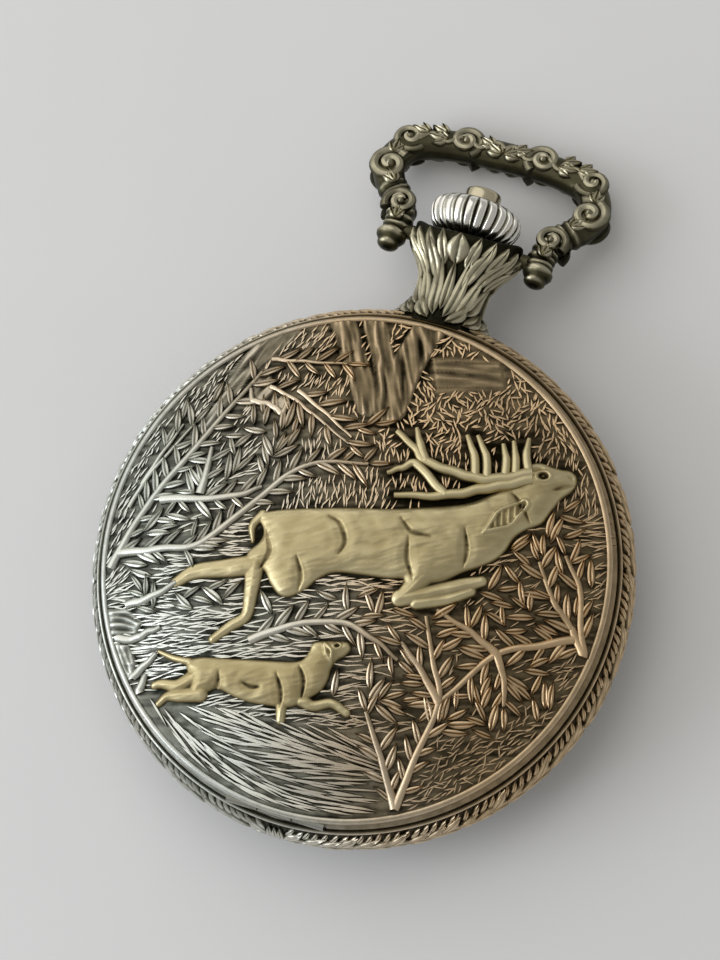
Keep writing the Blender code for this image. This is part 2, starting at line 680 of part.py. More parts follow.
def make_bow():
    """Scrolled bow, dropped on its two pins until its tip nears the table."""
    half = [(KNOB_X, -0.7), (6.9, 1.1), (7.5, 3.0), (8.9, 4.6), (9.8, 6.4), (9.5, 8.3), (8.2, 9.8),
            (5.6, 10.6), (2.8, 10.85), (0.0, 10.9)]
    sizes = [1.3, 1.3, 1.45, 1.75, 1.95, 1.9, 1.8, 1.75, 1.75, 1.75]
    places = [(x, y, 0.0) for x, y in half] + [(-x, y, 0.0) for x, y in half[-2::-1]]
    parts = 2
    path = smooth_path(places, parts)
    widths = sizes + sizes[-2::-1]
    radii = []
    for i in range(len(path)):
        stretch = min(i // parts, len(widths) - 2)
        share = i / parts - stretch
        radii.append(widths[stretch] * (1 - share) + widths[stretch + 1] * share)
    bow = tube("bow", path, radii, SILVER, resolution=3)
    bow.data.transform(Matrix.Diagonal((1.0, 1.0, BOW_FLATTEN, 1.0)))
    scrolls = {"knob": (7.1, -1.2, 1.45), "curl": (6.7, 2.1, 1.75), "volute": (9.5, 6.1, 2.4),
               "shoulder": (8.6, 9.9, 2.0), "leaf": (3.4, 11.2, 1.75)}
    for side in (-1, 1):
        start = (side * BOW_PIN_END_X, 0, 0)
        pin = rod(f"bow_pin_{side}", BOW_PIN_R, start, (side * KNOB_X, 0, 0), None, 16, CUTTERS)
        join(bow, hang(pin))
        for name, (x, y, radius) in scrolls.items():
            join(bow, lobe(f"bow_{name}_{side}", (side * x, y), radius))
    hang(bow)


def spun(name, profile, steps, shift, material, along_y=False):
    """Spin a closed profile and shift every second row of points, as flutes or face teeth."""
    bm = bmesh.new()
    points = [bm.verts.new((r * MM, 0.0, h * MM)) for r, h in profile]
    edges = [bm.edges.new((points[i], points[(i + 1) % len(points)])) for i in range(len(points))]
    bmesh.ops.spin(bm, geom=points + edges, cent=(0, 0, 0), axis=(0, 0, 1), angle=TURN, steps=steps,
                   use_merge=True)
    bmesh.ops.remove_doubles(bm, verts=bm.verts, dist=0.0000005)
    bmesh.ops.recalc_face_normals(bm, faces=bm.faces)
    for vertex in bm.verts:
        row = round(math.atan2(vertex.co.y, vertex.co.x) / (TURN / steps))
        if row % 2:
            shift(vertex)
    mesh = bpy.data.meshes.new(name)
    bm.to_mesh(mesh)
    bm.free()
    piece = add_mesh(name, mesh, material)
    if along_y:
        piece.rotation_euler = (-math.pi / 2, 0.0, 0.0)
        lay(piece, 0.0, 0.0, STEM_Z)
    return piece


def flute(vertex):
    """Draw a crown point in between two ribs."""
    radius = math.hypot(vertex.co.x, vertex.co.y)
    if radius > 2.5 * MM:
        vertex.co.x *= 1 - FLUTE_DEPTH
        vertex.co.y *= 1 - FLUTE_DEPTH


def face_tooth(vertex):
    """Lower a point on the upper face between two face teeth."""
    if vertex.co.z > 3.8 * MM:
        vertex.co.z -= 0.2 * MM


def make_crown():
    """Crown, stem, release button with its push rod and spring, and the lid catch."""
    crown = [(CROWN_WELL_R, CROWN_TOP_Y), (2.7, 35.65), (3.6, 35.2), (4.15, 34.6), (4.3, 34.1),
             (3.95, 33.1), (3.1, 32.4), (2.3, CROWN_LOW_Y), (CROWN_BORE_R, CROWN_LOW_Y),
             (CROWN_BORE_R, CROWN_WELL_Y), (CROWN_WELL_R, CROWN_WELL_Y)]
    spun("crown", crown, 2 * CROWN_FLUTES, flute, SILVER, along_y=True)

    stem = [(0.0, 20.6), (STEM_BORE_R, 20.6), (STEM_BORE_R, STEM_TOP_Y), (STEM_R, STEM_TOP_Y),
            (STEM_R, STEM_END_Y), (0.0, STEM_END_Y)]
    stem_piece = turned("winding_stem", stem, 16, STEEL, along_y=True)
    slot_low = PUSH_PIN_Y - PUSH_PIN_R - BUTTON_TRAVEL - 0.1
    low = (-0.28, slot_low, STEM_Z - 1.0)
    high = (0.28, PUSH_PIN_Y + 0.3, STEM_Z + 1.0)
    pin_slot = box("push_pin_slot", low, high, None, CUTTERS)
    cut(stem_piece, pin_slot)

    button = [(0.0, BUTTON_TOP_Y), (1.0, 37.12), (1.5, 36.75), (BUTTON_R, 36.2), (BUTTON_R, BUTTON_LOW_Y),
              (PUSH_ROD_R, BUTTON_LOW_Y), (PUSH_ROD_R, PUSH_PIN_Y - 0.25), (0.0, PUSH_PIN_Y - 0.25)]
    button_piece = turned("release_button", button, 20, SILVER, along_y=True)
    push_pin = rod("push_pin", PUSH_PIN_R, (0, PUSH_PIN_Y, STEM_Z - PUSH_PIN_REACH),
                   (0, PUSH_PIN_Y, STEM_Z + PUSH_PIN_REACH), None, 10, CUTTERS)
    join(button_piece, push_pin)

    points = 25
    coil = []
    for i in range(points):
        angle = TURN * COIL_TURNS * i / (points - 1)
        rise = COIL_Y[0] + (COIL_Y[1] - COIL_Y[0]) * i / (points - 1)
        coil.append((COIL_R * math.cos(angle), rise, STEM_Z + COIL_R * math.sin(angle)))
    tube("button_spring", coil, [COIL_WIRE_R] * points, STEEL, resolution=1)

    low_y = CATCH_Y - CATCH_THICK / 2
    high_y = CATCH_Y + CATCH_THICK / 2
    catch = box("lid_catch", (-2.6, low_y, 4.4), (2.6, high_y, 9.6), STEEL)
    nib = box("catch_nib", (-1.5, CATCH_Y, 9.42), (1.5, 21.8, 9.68), None, CUTTERS)
    stem_pass = rod("catch_hole", 0.95, (0, 20.0, STEM_Z), (0, 22.5, STEM_Z), None, 16, CUTTERS)
    join(catch, nib)
    cut(catch, stem_pass)


def make_dial():
    """Dial and its three hands, all pointing to 12."""
    plate("dial", [circle(DIAL_R, CASE_STEPS), circle(1.15, 16), circle(0.5, 12, FOURTH)], DIAL_Z, ENAMEL)
    hand("hour_hand", CENTRE, 11.0, 2.2, 1.5, 1.0, 0.55, HOUR_HAND_Z)
    hand("minute_hand", CENTRE, 16.5, 3.0, 1.1, 0.67, 0.42, MINUTE_HAND_Z)
    hand("second_hand", FOURTH, 3.4, 1.2, 0.55, 0.32, 0.16, SECOND_HAND_Z)


def hand(name, centre, reach, tail, hub_r, hole_r, half_width, z_span):
    """Flat hand with a round hub, a short tail and a leaf-shaped blade."""
    half_angle = math.asin(half_width / hub_r)
    right = arc(CENTRE, hub_r, math.pi / 2 - half_angle, half_angle - math.pi / 2, 7)
    left = arc(CENTRE, hub_r, 1.5 * math.pi - half_angle, math.pi / 2 + half_angle, 7)
    blade = [(-half_width * 1.5, reach * 0.55), (0.0, reach), (half_width * 1.5, reach * 0.55)]
    end = [(half_width, -tail), (-half_width, -tail)]
    plate(name, [blade + right + end + left, circle(hole_r, 12)], z_span, BLUED, centre)


def make_plates():
    """Mainplate, movement ring, bridges, cock and their screws."""
    notch = 1.75
    notch_low = 10.9
    start = math.acos(notch / PLATE_R)
    rim = arc(CENTRE, PLATE_R, math.pi - start, start + TURN, 48)
    outline = rim + [(notch, notch_low), (-notch, notch_low)]
    holes = [circle(0.55, 12), circle(0.65, 12, BARREL), circle(0.35, 10, FOURTH)]
    holes += [circle(0.3, 10, place) for place in (THIRD, ESCAPE, PALLET)]
    holes += [circle(0.42, 10, BALANCE), circle(0.35, 10, MINUTE_WHEEL), circle(0.6, 10, SETTING_PIVOT)]
    feet = BARREL_BRIDGE_FEET + TRAIN_BRIDGE_FEET + (COCK_FOOT,)
    holes += [circle(0.5, 10, place) for place in feet + DOG_SCREWS]
    plate("mainplate", [outline] + holes, PLATE_Z, BRASS)
    opening = math.acos(2.6 / 19.0)
    ring = annular_sector(18.35, 19.55, math.pi - opening, opening + TURN, 48)
    plate("movement_ring", [ring], RING_Z, BRASS)

    edge = 1.9
    lean = math.asin(edge / BRIDGE_R)
    outline = arc(CENTRE, BRIDGE_R, lean, math.pi - lean, 28)
    barrel_bridge = plate("barrel_bridge", [outline], BRIDGE_Z, NICKEL)
    groove = lay(turned("crown_wheel_groove", [(3.35, 4.0), (3.35, 3.0), (2.4, 3.0), (2.4, 4.0)], 24, None,
                        closed=True, collection=CUTTERS), *CROWN_WHEEL)
    window = box("pinion_window", (-1.75, 14.7, 3.7), (1.75, 16.5, 4.6), None, CUTTERS)
    stand(barrel_bridge, BARREL_BRIDGE_FEET)
    cut(barrel_bridge, groove, window)
    bores = [(BARREL, 0.92), (CROWN_WHEEL, 0.85), (CLICK, 0.5)]
    drill(barrel_bridge, bores + [(place, SCREW_HOLE_R) for place in BARREL_BRIDGE_FEET])

    lean = math.asin(1.5 / BRIDGE_R)
    outline = arc(CENTRE, BRIDGE_R, lean, -1.745, 26)
    outline += [(-6.2, -12.6), (-5.5, -9.9), (-3.7, -8.2), (-2.6, -3.2), (-1.7, 1.5)]
    train_bridge = plate("train_bridge", [outline], BRIDGE_Z, NICKEL)
    stand(train_bridge, TRAIN_BRIDGE_FEET)
    bores = [(CENTRE, 0.5), (THIRD, 0.3), (FOURTH, 0.35), (ESCAPE, 0.28)]
    drill(train_bridge, bores + [(place, SCREW_HOLE_R) for place in TRAIN_BRIDGE_FEET])

    along = bearing(COCK_FOOT, BALANCE)
    side = math.pi / 2
    outline = arc(COCK_FOOT, 2.0, along + side, along + 3 * side, 9)
    outline += arc(BALANCE, 1.3, along - side, along + side, 9)
    cock = plate("balance_cock", [outline], (2.5, 3.0), NICKEL)
    cock_foot = rod("cock_foot", 1.85, (*COCK_FOOT, 2.9), (*COCK_FOOT, FOOT_TOP_Z), None, 16, CUTTERS)
    join(cock, cock_foot)
    drill(cock, [(BALANCE, 0.25), (COCK_FOOT, 0.55)])

    across = bearing(ESCAPE, BALANCE) - side
    ends = [(PALLET[0] + 3.2 * s * math.cos(across), PALLET[1] + 3.2 * s * math.sin(across)) for s in (1, -1)]
    outline = arc(ends[0], 0.9, across - side, across + side, 7)
    outline += arc(ends[1], 0.9, across + side, across + 3 * side, 7)
    pallet_bridge = plate("pallet_bridge", [outline], (4.95, 5.35), NICKEL)
    for i, place in enumerate(ends):
        low = (*place, 5.2)
        high = (*place, FOOT_TOP_Z)
        join(pallet_bridge, rod(f"pallet_foot_{i}", 0.7, low, high, None, 12, CUTTERS))
    drill(pallet_bridge, [(PALLET, 0.3)])

    for i, place in enumerate(BARREL_BRIDGE_FEET):
        screw(f"barrel_bridge_screw_{i + 1}", place, 1.0, (3.1, 3.4), 0.4, 6.7, BLUED)
    for i, place in enumerate(TRAIN_BRIDGE_FEET):
        screw(f"train_bridge_screw_{i + 1}", place, 1.0, (3.1, 3.4), 0.4, 6.7, BLUED)
    screw("cock_screw", COCK_FOOT, 1.2, (2.1, 2.42), 0.42, 6.7, BLUED)
    for i, place in enumerate(DOG_SCREWS):
        screw(f"case_screw_{i + 1}", place, 1.6, (5.6, 5.95), 0.4, 6.8, BLUED)


def stand(bridge, places):
    """Join round feet to a bridge, which stand it off the mainplate."""
    for i, place in enumerate(places):
        low = (*place, BRIDGE_Z[1] - 0.3)
        high = (*place, FOOT_TOP_Z)
        join(bridge, rod(f"{bridge.name}_foot_{i}", FOOT_R, low, high, None, 14, CUTTERS))


def drill(piece, bores):
    """Drill round holes through a plate and its feet."""
    for i, (centre, radius) in enumerate(bores):
        cut(piece, rod(f"{piece.name}_hole_{i}", radius, (*centre, 1.5), (*centre, 6.5), None, 10, CUTTERS))


def train_wheel(name, centre, wheel, wheel_z, pinion, pinion_z, arbor_r, arbor_z, material):
    """Wheel and pinion on one arbor, all one body."""
    body = plate(name, [wheel], wheel_z, material, centre)
    leaf = plate(name + "_pinion", [pinion], pinion_z, None, centre, CUTTERS)
    arbor = rod(name + "_arbor", arbor_r, (*centre, arbor_z[0]), (*centre, arbor_z[1]), None, 10, CUTTERS)
    return join(body, leaf, arbor)


def make_train():
    """Barrel, going train and escapement."""
    barrel_r, centre_pinion_r = pitch_radii(BARREL, CENTRE, BARREL_TEETH)
    centre_r, third_pinion_r = pitch_radii(CENTRE, THIRD, CENTRE_TEETH)
    third_r, fourth_pinion_r = pitch_radii(THIRD, FOURTH, THIRD_TEETH)
    fourth_r, escape_pinion_r = pitch_radii(FOURTH, ESCAPE, FOURTH_TEETH)

    teeth = gear(BARREL_TEETH[0], barrel_r, WHEEL_TOOTH, bearing(BARREL, CENTRE))
    drum = plate("barrel_drum", [teeth, circle(0.95, 16)], LEVEL_A, BRASS, BARREL)
    wall = [(6.75, 5.42), (6.75, 4.65), (6.35, 4.65), (6.35, 5.42)]
    drum_wall = lay(turned("drum_wall", wall, 32, None, closed=True, collection=CUTTERS), *BARREL)
    join(drum, drum_wall)
    plate("barrel_cover", [circle(6.28, 32), circle(0.95, 16)], (5.24, 5.42), BRASS, BARREL)
    plate("mainspring", [spiral(1.8, 6.05, 4, 12, 0.14)], (4.85, 5.15), BLUED, BARREL)
    arbor = [(0.0, 6.8), (0.55, 6.8), (0.55, 5.9), (0.85, 5.9), (0.85, 5.15), (1.4, 5.15), (1.4, 4.85),
             (0.85, 4.85), (0.85, 4.45), (0.8, 4.45), (0.8, 3.15), (0.0, 3.15)]
    lay(turned("barrel_arbor", arbor, 16, STEEL), *BARREL)

    leaf = pinion(BARREL_TEETH[1], centre_pinion_r, CENTRE, BARREL)
    wheel = gear(CENTRE_TEETH[0], centre_r, WHEEL_TOOTH, bearing(CENTRE, THIRD))
    train_wheel("centre_wheel", CENTRE, wheel, LEVEL_D, leaf, (4.45, 4.9), 0.4, (3.5, 9.03), BRASS)
    leaf = pinion(CENTRE_TEETH[1], third_pinion_r, THIRD, CENTRE)
    wheel = gear(THIRD_TEETH[0], third_r, WHEEL_TOOTH, bearing(THIRD, FOURTH))
    train_wheel("third_wheel", THIRD, wheel, LEVEL_B, leaf, (5.5, 5.9), 0.22, (3.5, 6.6), BRASS)
    leaf = pinion(THIRD_TEETH[1], fourth_pinion_r, FOURTH, THIRD)
    wheel = gear(FOURTH_TEETH[0], fourth_r, WHEEL_TOOTH, bearing(FOURTH, ESCAPE))
    train_wheel("fourth_wheel", FOURTH, wheel, LEVEL_C, leaf, (4.75, 5.14), 0.25, (3.5, 8.36), BRASS)
    leaf = pinion(FOURTH_TEETH[1], escape_pinion_r, ESCAPE, FOURTH)
    wheel = gear(ESCAPE_TEETH, 2.1, (1.07, 1.1, 0.3, 0.0), 0.0)
    train_wheel("escape_wheel", ESCAPE, wheel, LEVEL_D, leaf, (5.14, 5.48), 0.2, (3.5, 6.6), STEEL)

    lever = [(2.2, 0.36), (2.2, 0.15), (1.75, 0.15), (1.75, -0.15), (2.2, -0.15), (2.2, -0.36), (1.3, -0.25),
             (0.45, -0.35), (-0.55, -1.85), (-1.05, -1.8), (-0.4, -0.6), (-0.4, 0.6), (-1.05, 1.8),
             (-0.55, 1.85), (0.45, 0.35), (1.3, 0.25)]
    lean = Matrix.Rotation(bearing(PALLET, BALANCE), 2)
    outline = [tuple(lean @ Vector(point)) for point in lever]
    fork = plate("pallet_fork", [outline], LEVEL_D, STEEL, PALLET)
    join(fork, rod("fork_arbor", 0.2, (*PALLET, 5.0), (*PALLET, 6.6), None, 10, CUTTERS))

    rim = [(5.0, 4.25), (5.0, 3.85), (4.5, 3.85), (4.5, 4.25)]
    balance = lay(turned("balance_wheel", rim, 40, BRASS, closed=True), *BALANCE)
    arm = box("balance_arm", (-4.7, -0.35, 3.9), (4.7, 0.35, 4.18), None, CUTTERS)
    lay(arm, *BALANCE)
    staff = rod("balance_staff", 0.3, (*BALANCE, 3.07), (*BALANCE, 6.6), None, 10, CUTTERS)
    roller = rod("roller", 0.9, (*BALANCE, 5.55), (*BALANCE, 5.86), None, 14, CUTTERS)
    join(balance, arm, staff, roller)
    plate("hairspring", [spiral(0.75, 3.25, 4, 12, 0.1)], (3.3, 3.5), BLUED, BALANCE)
    pointer = arc(CENTRE, 1.0, 0.5, TURN - 0.5, 14) + [(2.0, -0.18), (3.1, 0.0), (2.0, 0.18)]
    plate("regulator", [pointer, circle(0.35, 10)], (2.12, 2.4), STEEL, BALANCE)


def make_motion_works():
    """Cannon pinion, minute wheel and hour wheel under the dial."""
    minute_r, cannon_r = pitch_radii(CENTRE, MINUTE_WHEEL, CANNON_TEETH)
    hour_r, minute_pinion_r = pitch_radii(CENTRE, MINUTE_WHEEL, HOUR_TEETH)
    towards = bearing(CENTRE, MINUTE_WHEEL)
    back = bearing(MINUTE_WHEEL, CENTRE)
    leaf = pinion(CANNON_TEETH[1], cannon_r, CENTRE, MINUTE_WHEEL)
    cannon = plate("cannon_pinion", [leaf], MOTION_LOW, STEEL)
    join(cannon, rod("cannon_tube", 0.62, (0, 0, 7.15), (0, 0, 9.0), None, 12, CUTTERS))
    cut(cannon, rod("cannon_bore", 0.47, (0, 0, 6.5), (0, 0, 9.5), None, 12, CUTTERS))
    wheel = gear(CANNON_TEETH[0], minute_r, WHEEL_TOOTH, back)
    leaf = pinion(HOUR_TEETH[1], minute_pinion_r, MINUTE_WHEEL, CENTRE)
    train_wheel("minute_wheel", MINUTE_WHEEL, wheel, MOTION_LOW, leaf, (7.2, 7.62), 0.28, (6.4, 7.5), BRASS)
    wheel = gear(HOUR_TEETH[0], hour_r, WHEEL_TOOTH, towards)
    hour_wheel = plate("hour_wheel", [wheel], MOTION_TOP, BRASS)
    join(hour_wheel, rod("hour_tube", 0.93, (0, 0, 7.45), (0, 0, 8.66), None, 12, CUTTERS))
    cut(hour_wheel, rod("hour_bore", 0.72, (0, 0, 7.0), (0, 0, 9.0), None, 12, CUTTERS))


def make_winding():
    """Ratchet, crown wheel, click, winding pinion, clutch and setting lever."""
    ratchet_r, crown_r = pitch_radii(BARREL, CROWN_WHEEL, (RATCHET_TEETH, CROWN_WHEEL_TEETH))
    phase = gap_phase(bearing(BARREL, CROWN_WHEEL), RATCHET_TEETH)
    teeth = gear(RATCHET_TEETH, ratchet_r, WHEEL_TOOTH, phase)
    plate("ratchet_wheel", [teeth, circle(0.87, 16)], WINDING_Z, STEEL, BARREL)
    screw("ratchet_screw", BARREL, 1.5, (2.68, 2.97), 0.7, 3.1, BLUED)

    face = [(3.2, 3.95), (3.2, 3.3), (2.55, 3.3), (2.55, 3.95)]
    crown_wheel = lay(spun("crown_wheel", face, 2 * CROWN_WHEEL_TEETH, face_tooth, STEEL), *CROWN_WHEEL)
    teeth = gear(CROWN_WHEEL_TEETH, crown_r, WHEEL_TOOTH, bearing(CROWN_WHEEL, BARREL))
    disc = plate("crown_wheel_disc", [teeth, circle(0.87, 16)], WINDING_Z, None, CROWN_WHEEL, CUTTERS)
    join(crown_wheel, disc)
    screw("crown_wheel_screw", CROWN_WHEEL, 1.5, (2.68, 2.97), 0.78, 4.2, BLUED)

    beak_side = bearing(CLICK, BARREL)
    beak = [(0.9, 0.5), (1.18, 0.05), (0.85, -0.35)]
    lean = Matrix.Rotation(beak_side, 2)
    nose = [tuple(lean @ Vector(point)) for point in beak]
    body = arc(CENTRE, 0.8, beak_side - 0.7, beak_side + 0.7 - TURN, 14)
    plate("click", [nose + body, circle(0.5, 10)], WINDING_Z, STEEL, CLICK)
    screw("click_screw", CLICK, 0.75, (2.72, 2.97), 0.4, 4.2, BLUED)
    plate("click_spring", [annular_sector(15.0, 15.25, 2.55, 2.85, 10)], WINDING_Z, STEEL)

    leaf = gear(8, 1.3, PINION_LEAF, math.pi / 8)
    pinion_piece = plate("winding_pinion", [leaf, circle(0.82, 16)], (14.9, 16.3), STEEL)
    pinion_piece.rotation_euler = (-math.pi / 2, 0.0, 0.0)
    lay(pinion_piece, 0.0, 0.0, STEM_Z)
    clutch = [(1.3, 14.2), (1.3, 13.7), (1.0, 13.6), (1.0, 13.0), (1.3, 12.9), (1.3, 12.4),
              (0.82, 12.4), (0.82, 14.2)]
    turned("clutch_wheel", clutch, 16, STEEL, closed=True, along_y=True)

    finger = [(-0.9, 0.5), (-2.2, 0.45), (-2.2, -0.1), (-0.6, -0.7)]
    body = arc(CENTRE, 1.0, 4.1, 8.9, 12)
    lever = plate("setting_lever", [body + finger], (7.08, 7.4), STEEL, SETTING_PIVOT)
    join(lever, rod("lever_post", 0.5, (*SETTING_PIVOT, 6.3), (*SETTING_PIVOT, 7.2), None, 12, CUTTERS))


make_case()
make_pendant()
make_bow()
make_crown()
make_dial()
make_plates()
make_train()
make_motion_works()
make_winding()

for part in WATCH.objects:
    part.data.shade_smooth()
    part.data.set_sharp_from_angle(angle=math.radians(35.0))
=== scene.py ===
"""Dresses the hunter pocket watch: relief lid, leaf garland, scrolled bow, crown, dial and movement.

Lengths are in millimetres until a mesh is made. The watch frame has +X to 3 o'clock, +Y to the
pendant and +Z from the back to the lid.
"""
import logging
import math
from collections.abc import Callable
from dataclasses import dataclass, field
from enum import Enum

import bmesh
import bpy
import numpy as np
from mathutils import Matrix, Vector


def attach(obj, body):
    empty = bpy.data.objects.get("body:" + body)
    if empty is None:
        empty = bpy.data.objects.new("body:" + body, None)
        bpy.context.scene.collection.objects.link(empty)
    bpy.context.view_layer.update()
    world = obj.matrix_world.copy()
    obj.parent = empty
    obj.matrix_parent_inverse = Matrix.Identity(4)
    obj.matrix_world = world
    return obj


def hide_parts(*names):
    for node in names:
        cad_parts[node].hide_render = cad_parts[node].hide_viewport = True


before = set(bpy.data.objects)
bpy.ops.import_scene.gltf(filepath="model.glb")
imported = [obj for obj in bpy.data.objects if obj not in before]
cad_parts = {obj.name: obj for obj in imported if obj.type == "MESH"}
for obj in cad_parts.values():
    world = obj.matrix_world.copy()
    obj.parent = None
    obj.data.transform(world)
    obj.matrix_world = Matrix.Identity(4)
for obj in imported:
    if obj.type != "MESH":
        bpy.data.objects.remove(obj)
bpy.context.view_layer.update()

LOG = logging.getLogger("watch")
MM = 0.001
TURN = 2 * math.pi
QUARTER = math.pi / 2
UP = np.array([0.0, 0.0, 1.0])
TINY = 1e-12
FAR = 99.0
WELD_GAP = 1e-7
# Heights of the stem and of the two hinges, and how far the hinges lie from the middle.
STEM_Z = 5.6
LID_HINGE_Z = 9.1
BACK_HINGE_Z = 3.2
HINGE_Y = -22.35

Array = np.ndarray
Material = bpy.types.Material
Points = list[tuple[float, float]]
Shape = tuple[Array, Array, dict[str, Array]]
Socket = bpy.types.NodeSocket
Tree = bpy.types.NodeTree
Window = tuple[slice, slice]


def linear(hex_colour: str) -> tuple[float, float, float, float]:
    """Turn an sRGB hex value into a linear colour.

    Args:
        hex_colour: six hex digits.

    Returns:
        Linear red, green, blue and an alpha of 1.
    """
    parts = np.array([int(hex_colour[i:i + 2], 16) for i in (0, 2, 4)]) / 255.0
    values = np.where(parts <= 0.04045, parts / 12.92, ((parts + 0.055) / 1.055) ** 2.4)
    return (*values.tolist(), 1.0)


def smooth(values: Array | float, low: float, high: float) -> Array:
    """Rise from 0 at low to 1 at high, with level ends: 3t squared less 2t cubed."""
    t = np.clip((np.asarray(values) - low) / (high - low), 0.0, 1.0)
    return t * t * (3.0 - 2.0 * t)


def curve_through(points: Points | Array, count: int, closed: bool = False) -> Array:
    """Carry a smooth curve through points, each stretch a cubic whose ends follow its neighbours.

    Args:
        points: the places it passes.
        count: how many points come back, evenly spread over the stretches.
        closed: whether it joins its own start.

    Returns:
        The points of the curve, one row each.
    """
    p = np.asarray(points, float)
    if closed:
        p = np.vstack([p[-1], p, p[:2]])
    else:
        p = np.vstack([2 * p[0] - p[1], p, 2 * p[-1] - p[-2]])
    stretches = len(p) - 3
    s = np.linspace(0.0, stretches, count, endpoint=not closed)
    i = np.minimum(s.astype(int), stretches - 1)
    t = (s - i)[:, None]
    a, b, c, d = p[i], p[i + 1], p[i + 2], p[i + 3]
    return 0.5 * (2 * b + (c - a) * t + (2 * a - 5 * b + 4 * c - d) * t**2 + (3 * b - a - 3 * c + d) * t**3)


def reach_along(path: Array) -> Array:
    """Length of a flat path up to each of its points."""
    return np.concatenate([[0], np.cumsum(np.hypot(*np.diff(path, axis=0).T))])


def along(values: list[float], count: int) -> Array:
    """Spread a few values evenly over a count, straight between them."""
    return np.interp(np.linspace(0, 1, count), np.linspace(0, 1, len(values)), values)


def unit(vectors: Array) -> Array:
    """Bring each row to a length of 1."""
    return vectors / np.linalg.norm(vectors, axis=1)[:, None]


def mirrored(heading: float, side: int) -> float:
    """A heading on the right half, or its mirror image on the left."""
    return heading if side > 0 else math.pi - heading


def grid_faces(rows: int, columns: int, wrap_rows: bool = False, wrap_columns: bool = False) -> Array:
    """Quads of a grid of points numbered row by row.

    Args:
        rows: number of rows.
        columns: number of columns.
        wrap_rows: whether the last row joins the first.
        wrap_columns: whether the last column joins the first.

    Returns:
        Four point numbers for each quad.
    """
    r = np.arange(rows if wrap_rows else rows - 1)[:, None]
    c = np.arange(columns if wrap_columns else columns - 1)[None, :]
    r2 = (r + 1) % rows
    c2 = (c + 1) % columns
    quads = np.stack(np.broadcast_arrays(r * columns + c, r * columns + c2,
                                         r2 * columns + c2, r2 * columns + c), -1)
    return quads.reshape(-1, 4)


def ring_faces(rows: int, columns: int) -> Array:
    """Quads of a grid that closes on itself both ways."""
    return grid_faces(rows, columns, wrap_rows=True, wrap_columns=True)


def faces_inward(points: Array, quads: Array) -> bool:
    """Whether a closed shape's quads face inwards: the volumes they span with the origin sum below 0."""
    a, b, c, d = (points[quads[:, k]] for k in range(4))
    return np.einsum("ij,ij->", a, np.cross(b, c)) + np.einsum("ij,ij->", a, np.cross(c, d)) < 0


class Slot(Enum):
    """Material slots that the pieces use."""

    SILVER = "silver"
    BLUED = "blued_steel"
    BRASS = "brass"
    ENAMEL = "enamel"
    GLASS = "glass"


@dataclass(frozen=True)
class Piece:
    """A piece's name, its finish, the body that carries it, its slot, and the nodes that it stands for."""

    name: str
    material: Material
    body: str
    slot: Slot = Slot.SILVER
    replaces: tuple[str, ...] = ()


def put_mesh(piece: Piece, points: Array, quads: Array, values: dict[str, Array],
             extra: list | None = None, weld: bool = True, sharp: float = 40.0) -> None:
    """Make a finished piece from arrays, turn its faces outwards and ride it on its body.

    Args:
        piece: what it is.
        points: places in millimetres, one row each.
        quads: four point numbers for each face.
        values: named numbers for each point, which the finish reads.
        extra: faces with other corner counts.
        weld: whether points in one place are merged.
        sharp: angle in degrees past which an edge stays sharp.
    """
    faces = quads.tolist() + (extra or [])
    if faces_inward(points, quads):
        faces = [face[::-1] for face in faces]
    mesh = bpy.data.meshes.new(piece.name)
    mesh.from_pydata((points * MM).tolist(), [], faces)
    for label, numbers in values.items():
        layer = mesh.attributes.new(label, "FLOAT", "POINT")
        layer.data.foreach_set("value", np.ascontiguousarray(numbers, np.float32))
    if weld:
        bm = bmesh.new()
        bm.from_mesh(mesh)
        bmesh.ops.remove_doubles(bm, verts=bm.verts, dist=WELD_GAP)
        bm.to_mesh(mesh)
        bm.free()
    mesh.shade_smooth()
    mesh.set_sharp_from_angle(angle=math.radians(sharp))
    mesh.materials.append(piece.material)
    made = bpy.data.objects.new(piece.name, mesh)
    bpy.context.scene.collection.objects.link(made)
    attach(made, piece.body)
    if piece.replaces:
        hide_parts(*piece.replaces)
    LOG.info("%s: %d points, %d faces", piece.name, len(mesh.vertices), len(mesh.polygons))


def put_shapes(piece: Piece, shapes: list[Shape]) -> None:
    """Gather several closed shapes, each turned outwards, into one piece.

    Args:
        piece: what it is.
        shapes: points, quads and named numbers of each shape.
    """
    points, faces, start = [], [], 0
    values: dict[str, list[Array]] = {}
    for p, q, named in shapes:
        faces.append((q[:, ::-1] if faces_inward(p, q) else q) + start)
        points.append(p)
        start += len(p)
        for label, numbers in named.items():
            values.setdefault(label, []).append(numbers)
    merged = {label: np.concatenate(parts) for label, parts in values.items()}
    put_mesh(piece, np.vstack(points), np.vstack(faces), merged)


def turned_shape(profile: Points | Array, steps: int, centre: tuple[float, float] = (0.0, 0.0)) -> Shape:
    """Turn a closed profile about an axis along Z: x and y are the radius times cosine and sine.

    Args:
        profile: corners of the section as (radius, height).
        steps: points round the circle.
        centre: where the axis stands.

    Returns:
        Points, quads and no named numbers.
    """
    angle = np.arange(steps) * TURN / steps
    r, z = (column[:, None] for column in np.asarray(profile, float).T)
    x = centre[0] + r * np.cos(angle)
    y = centre[1] + r * np.sin(angle)
    points = np.stack([x, y, np.broadcast_to(z, x.shape)], -1).reshape(-1, 3)
    return points, ring_faces(len(profile), steps), {}


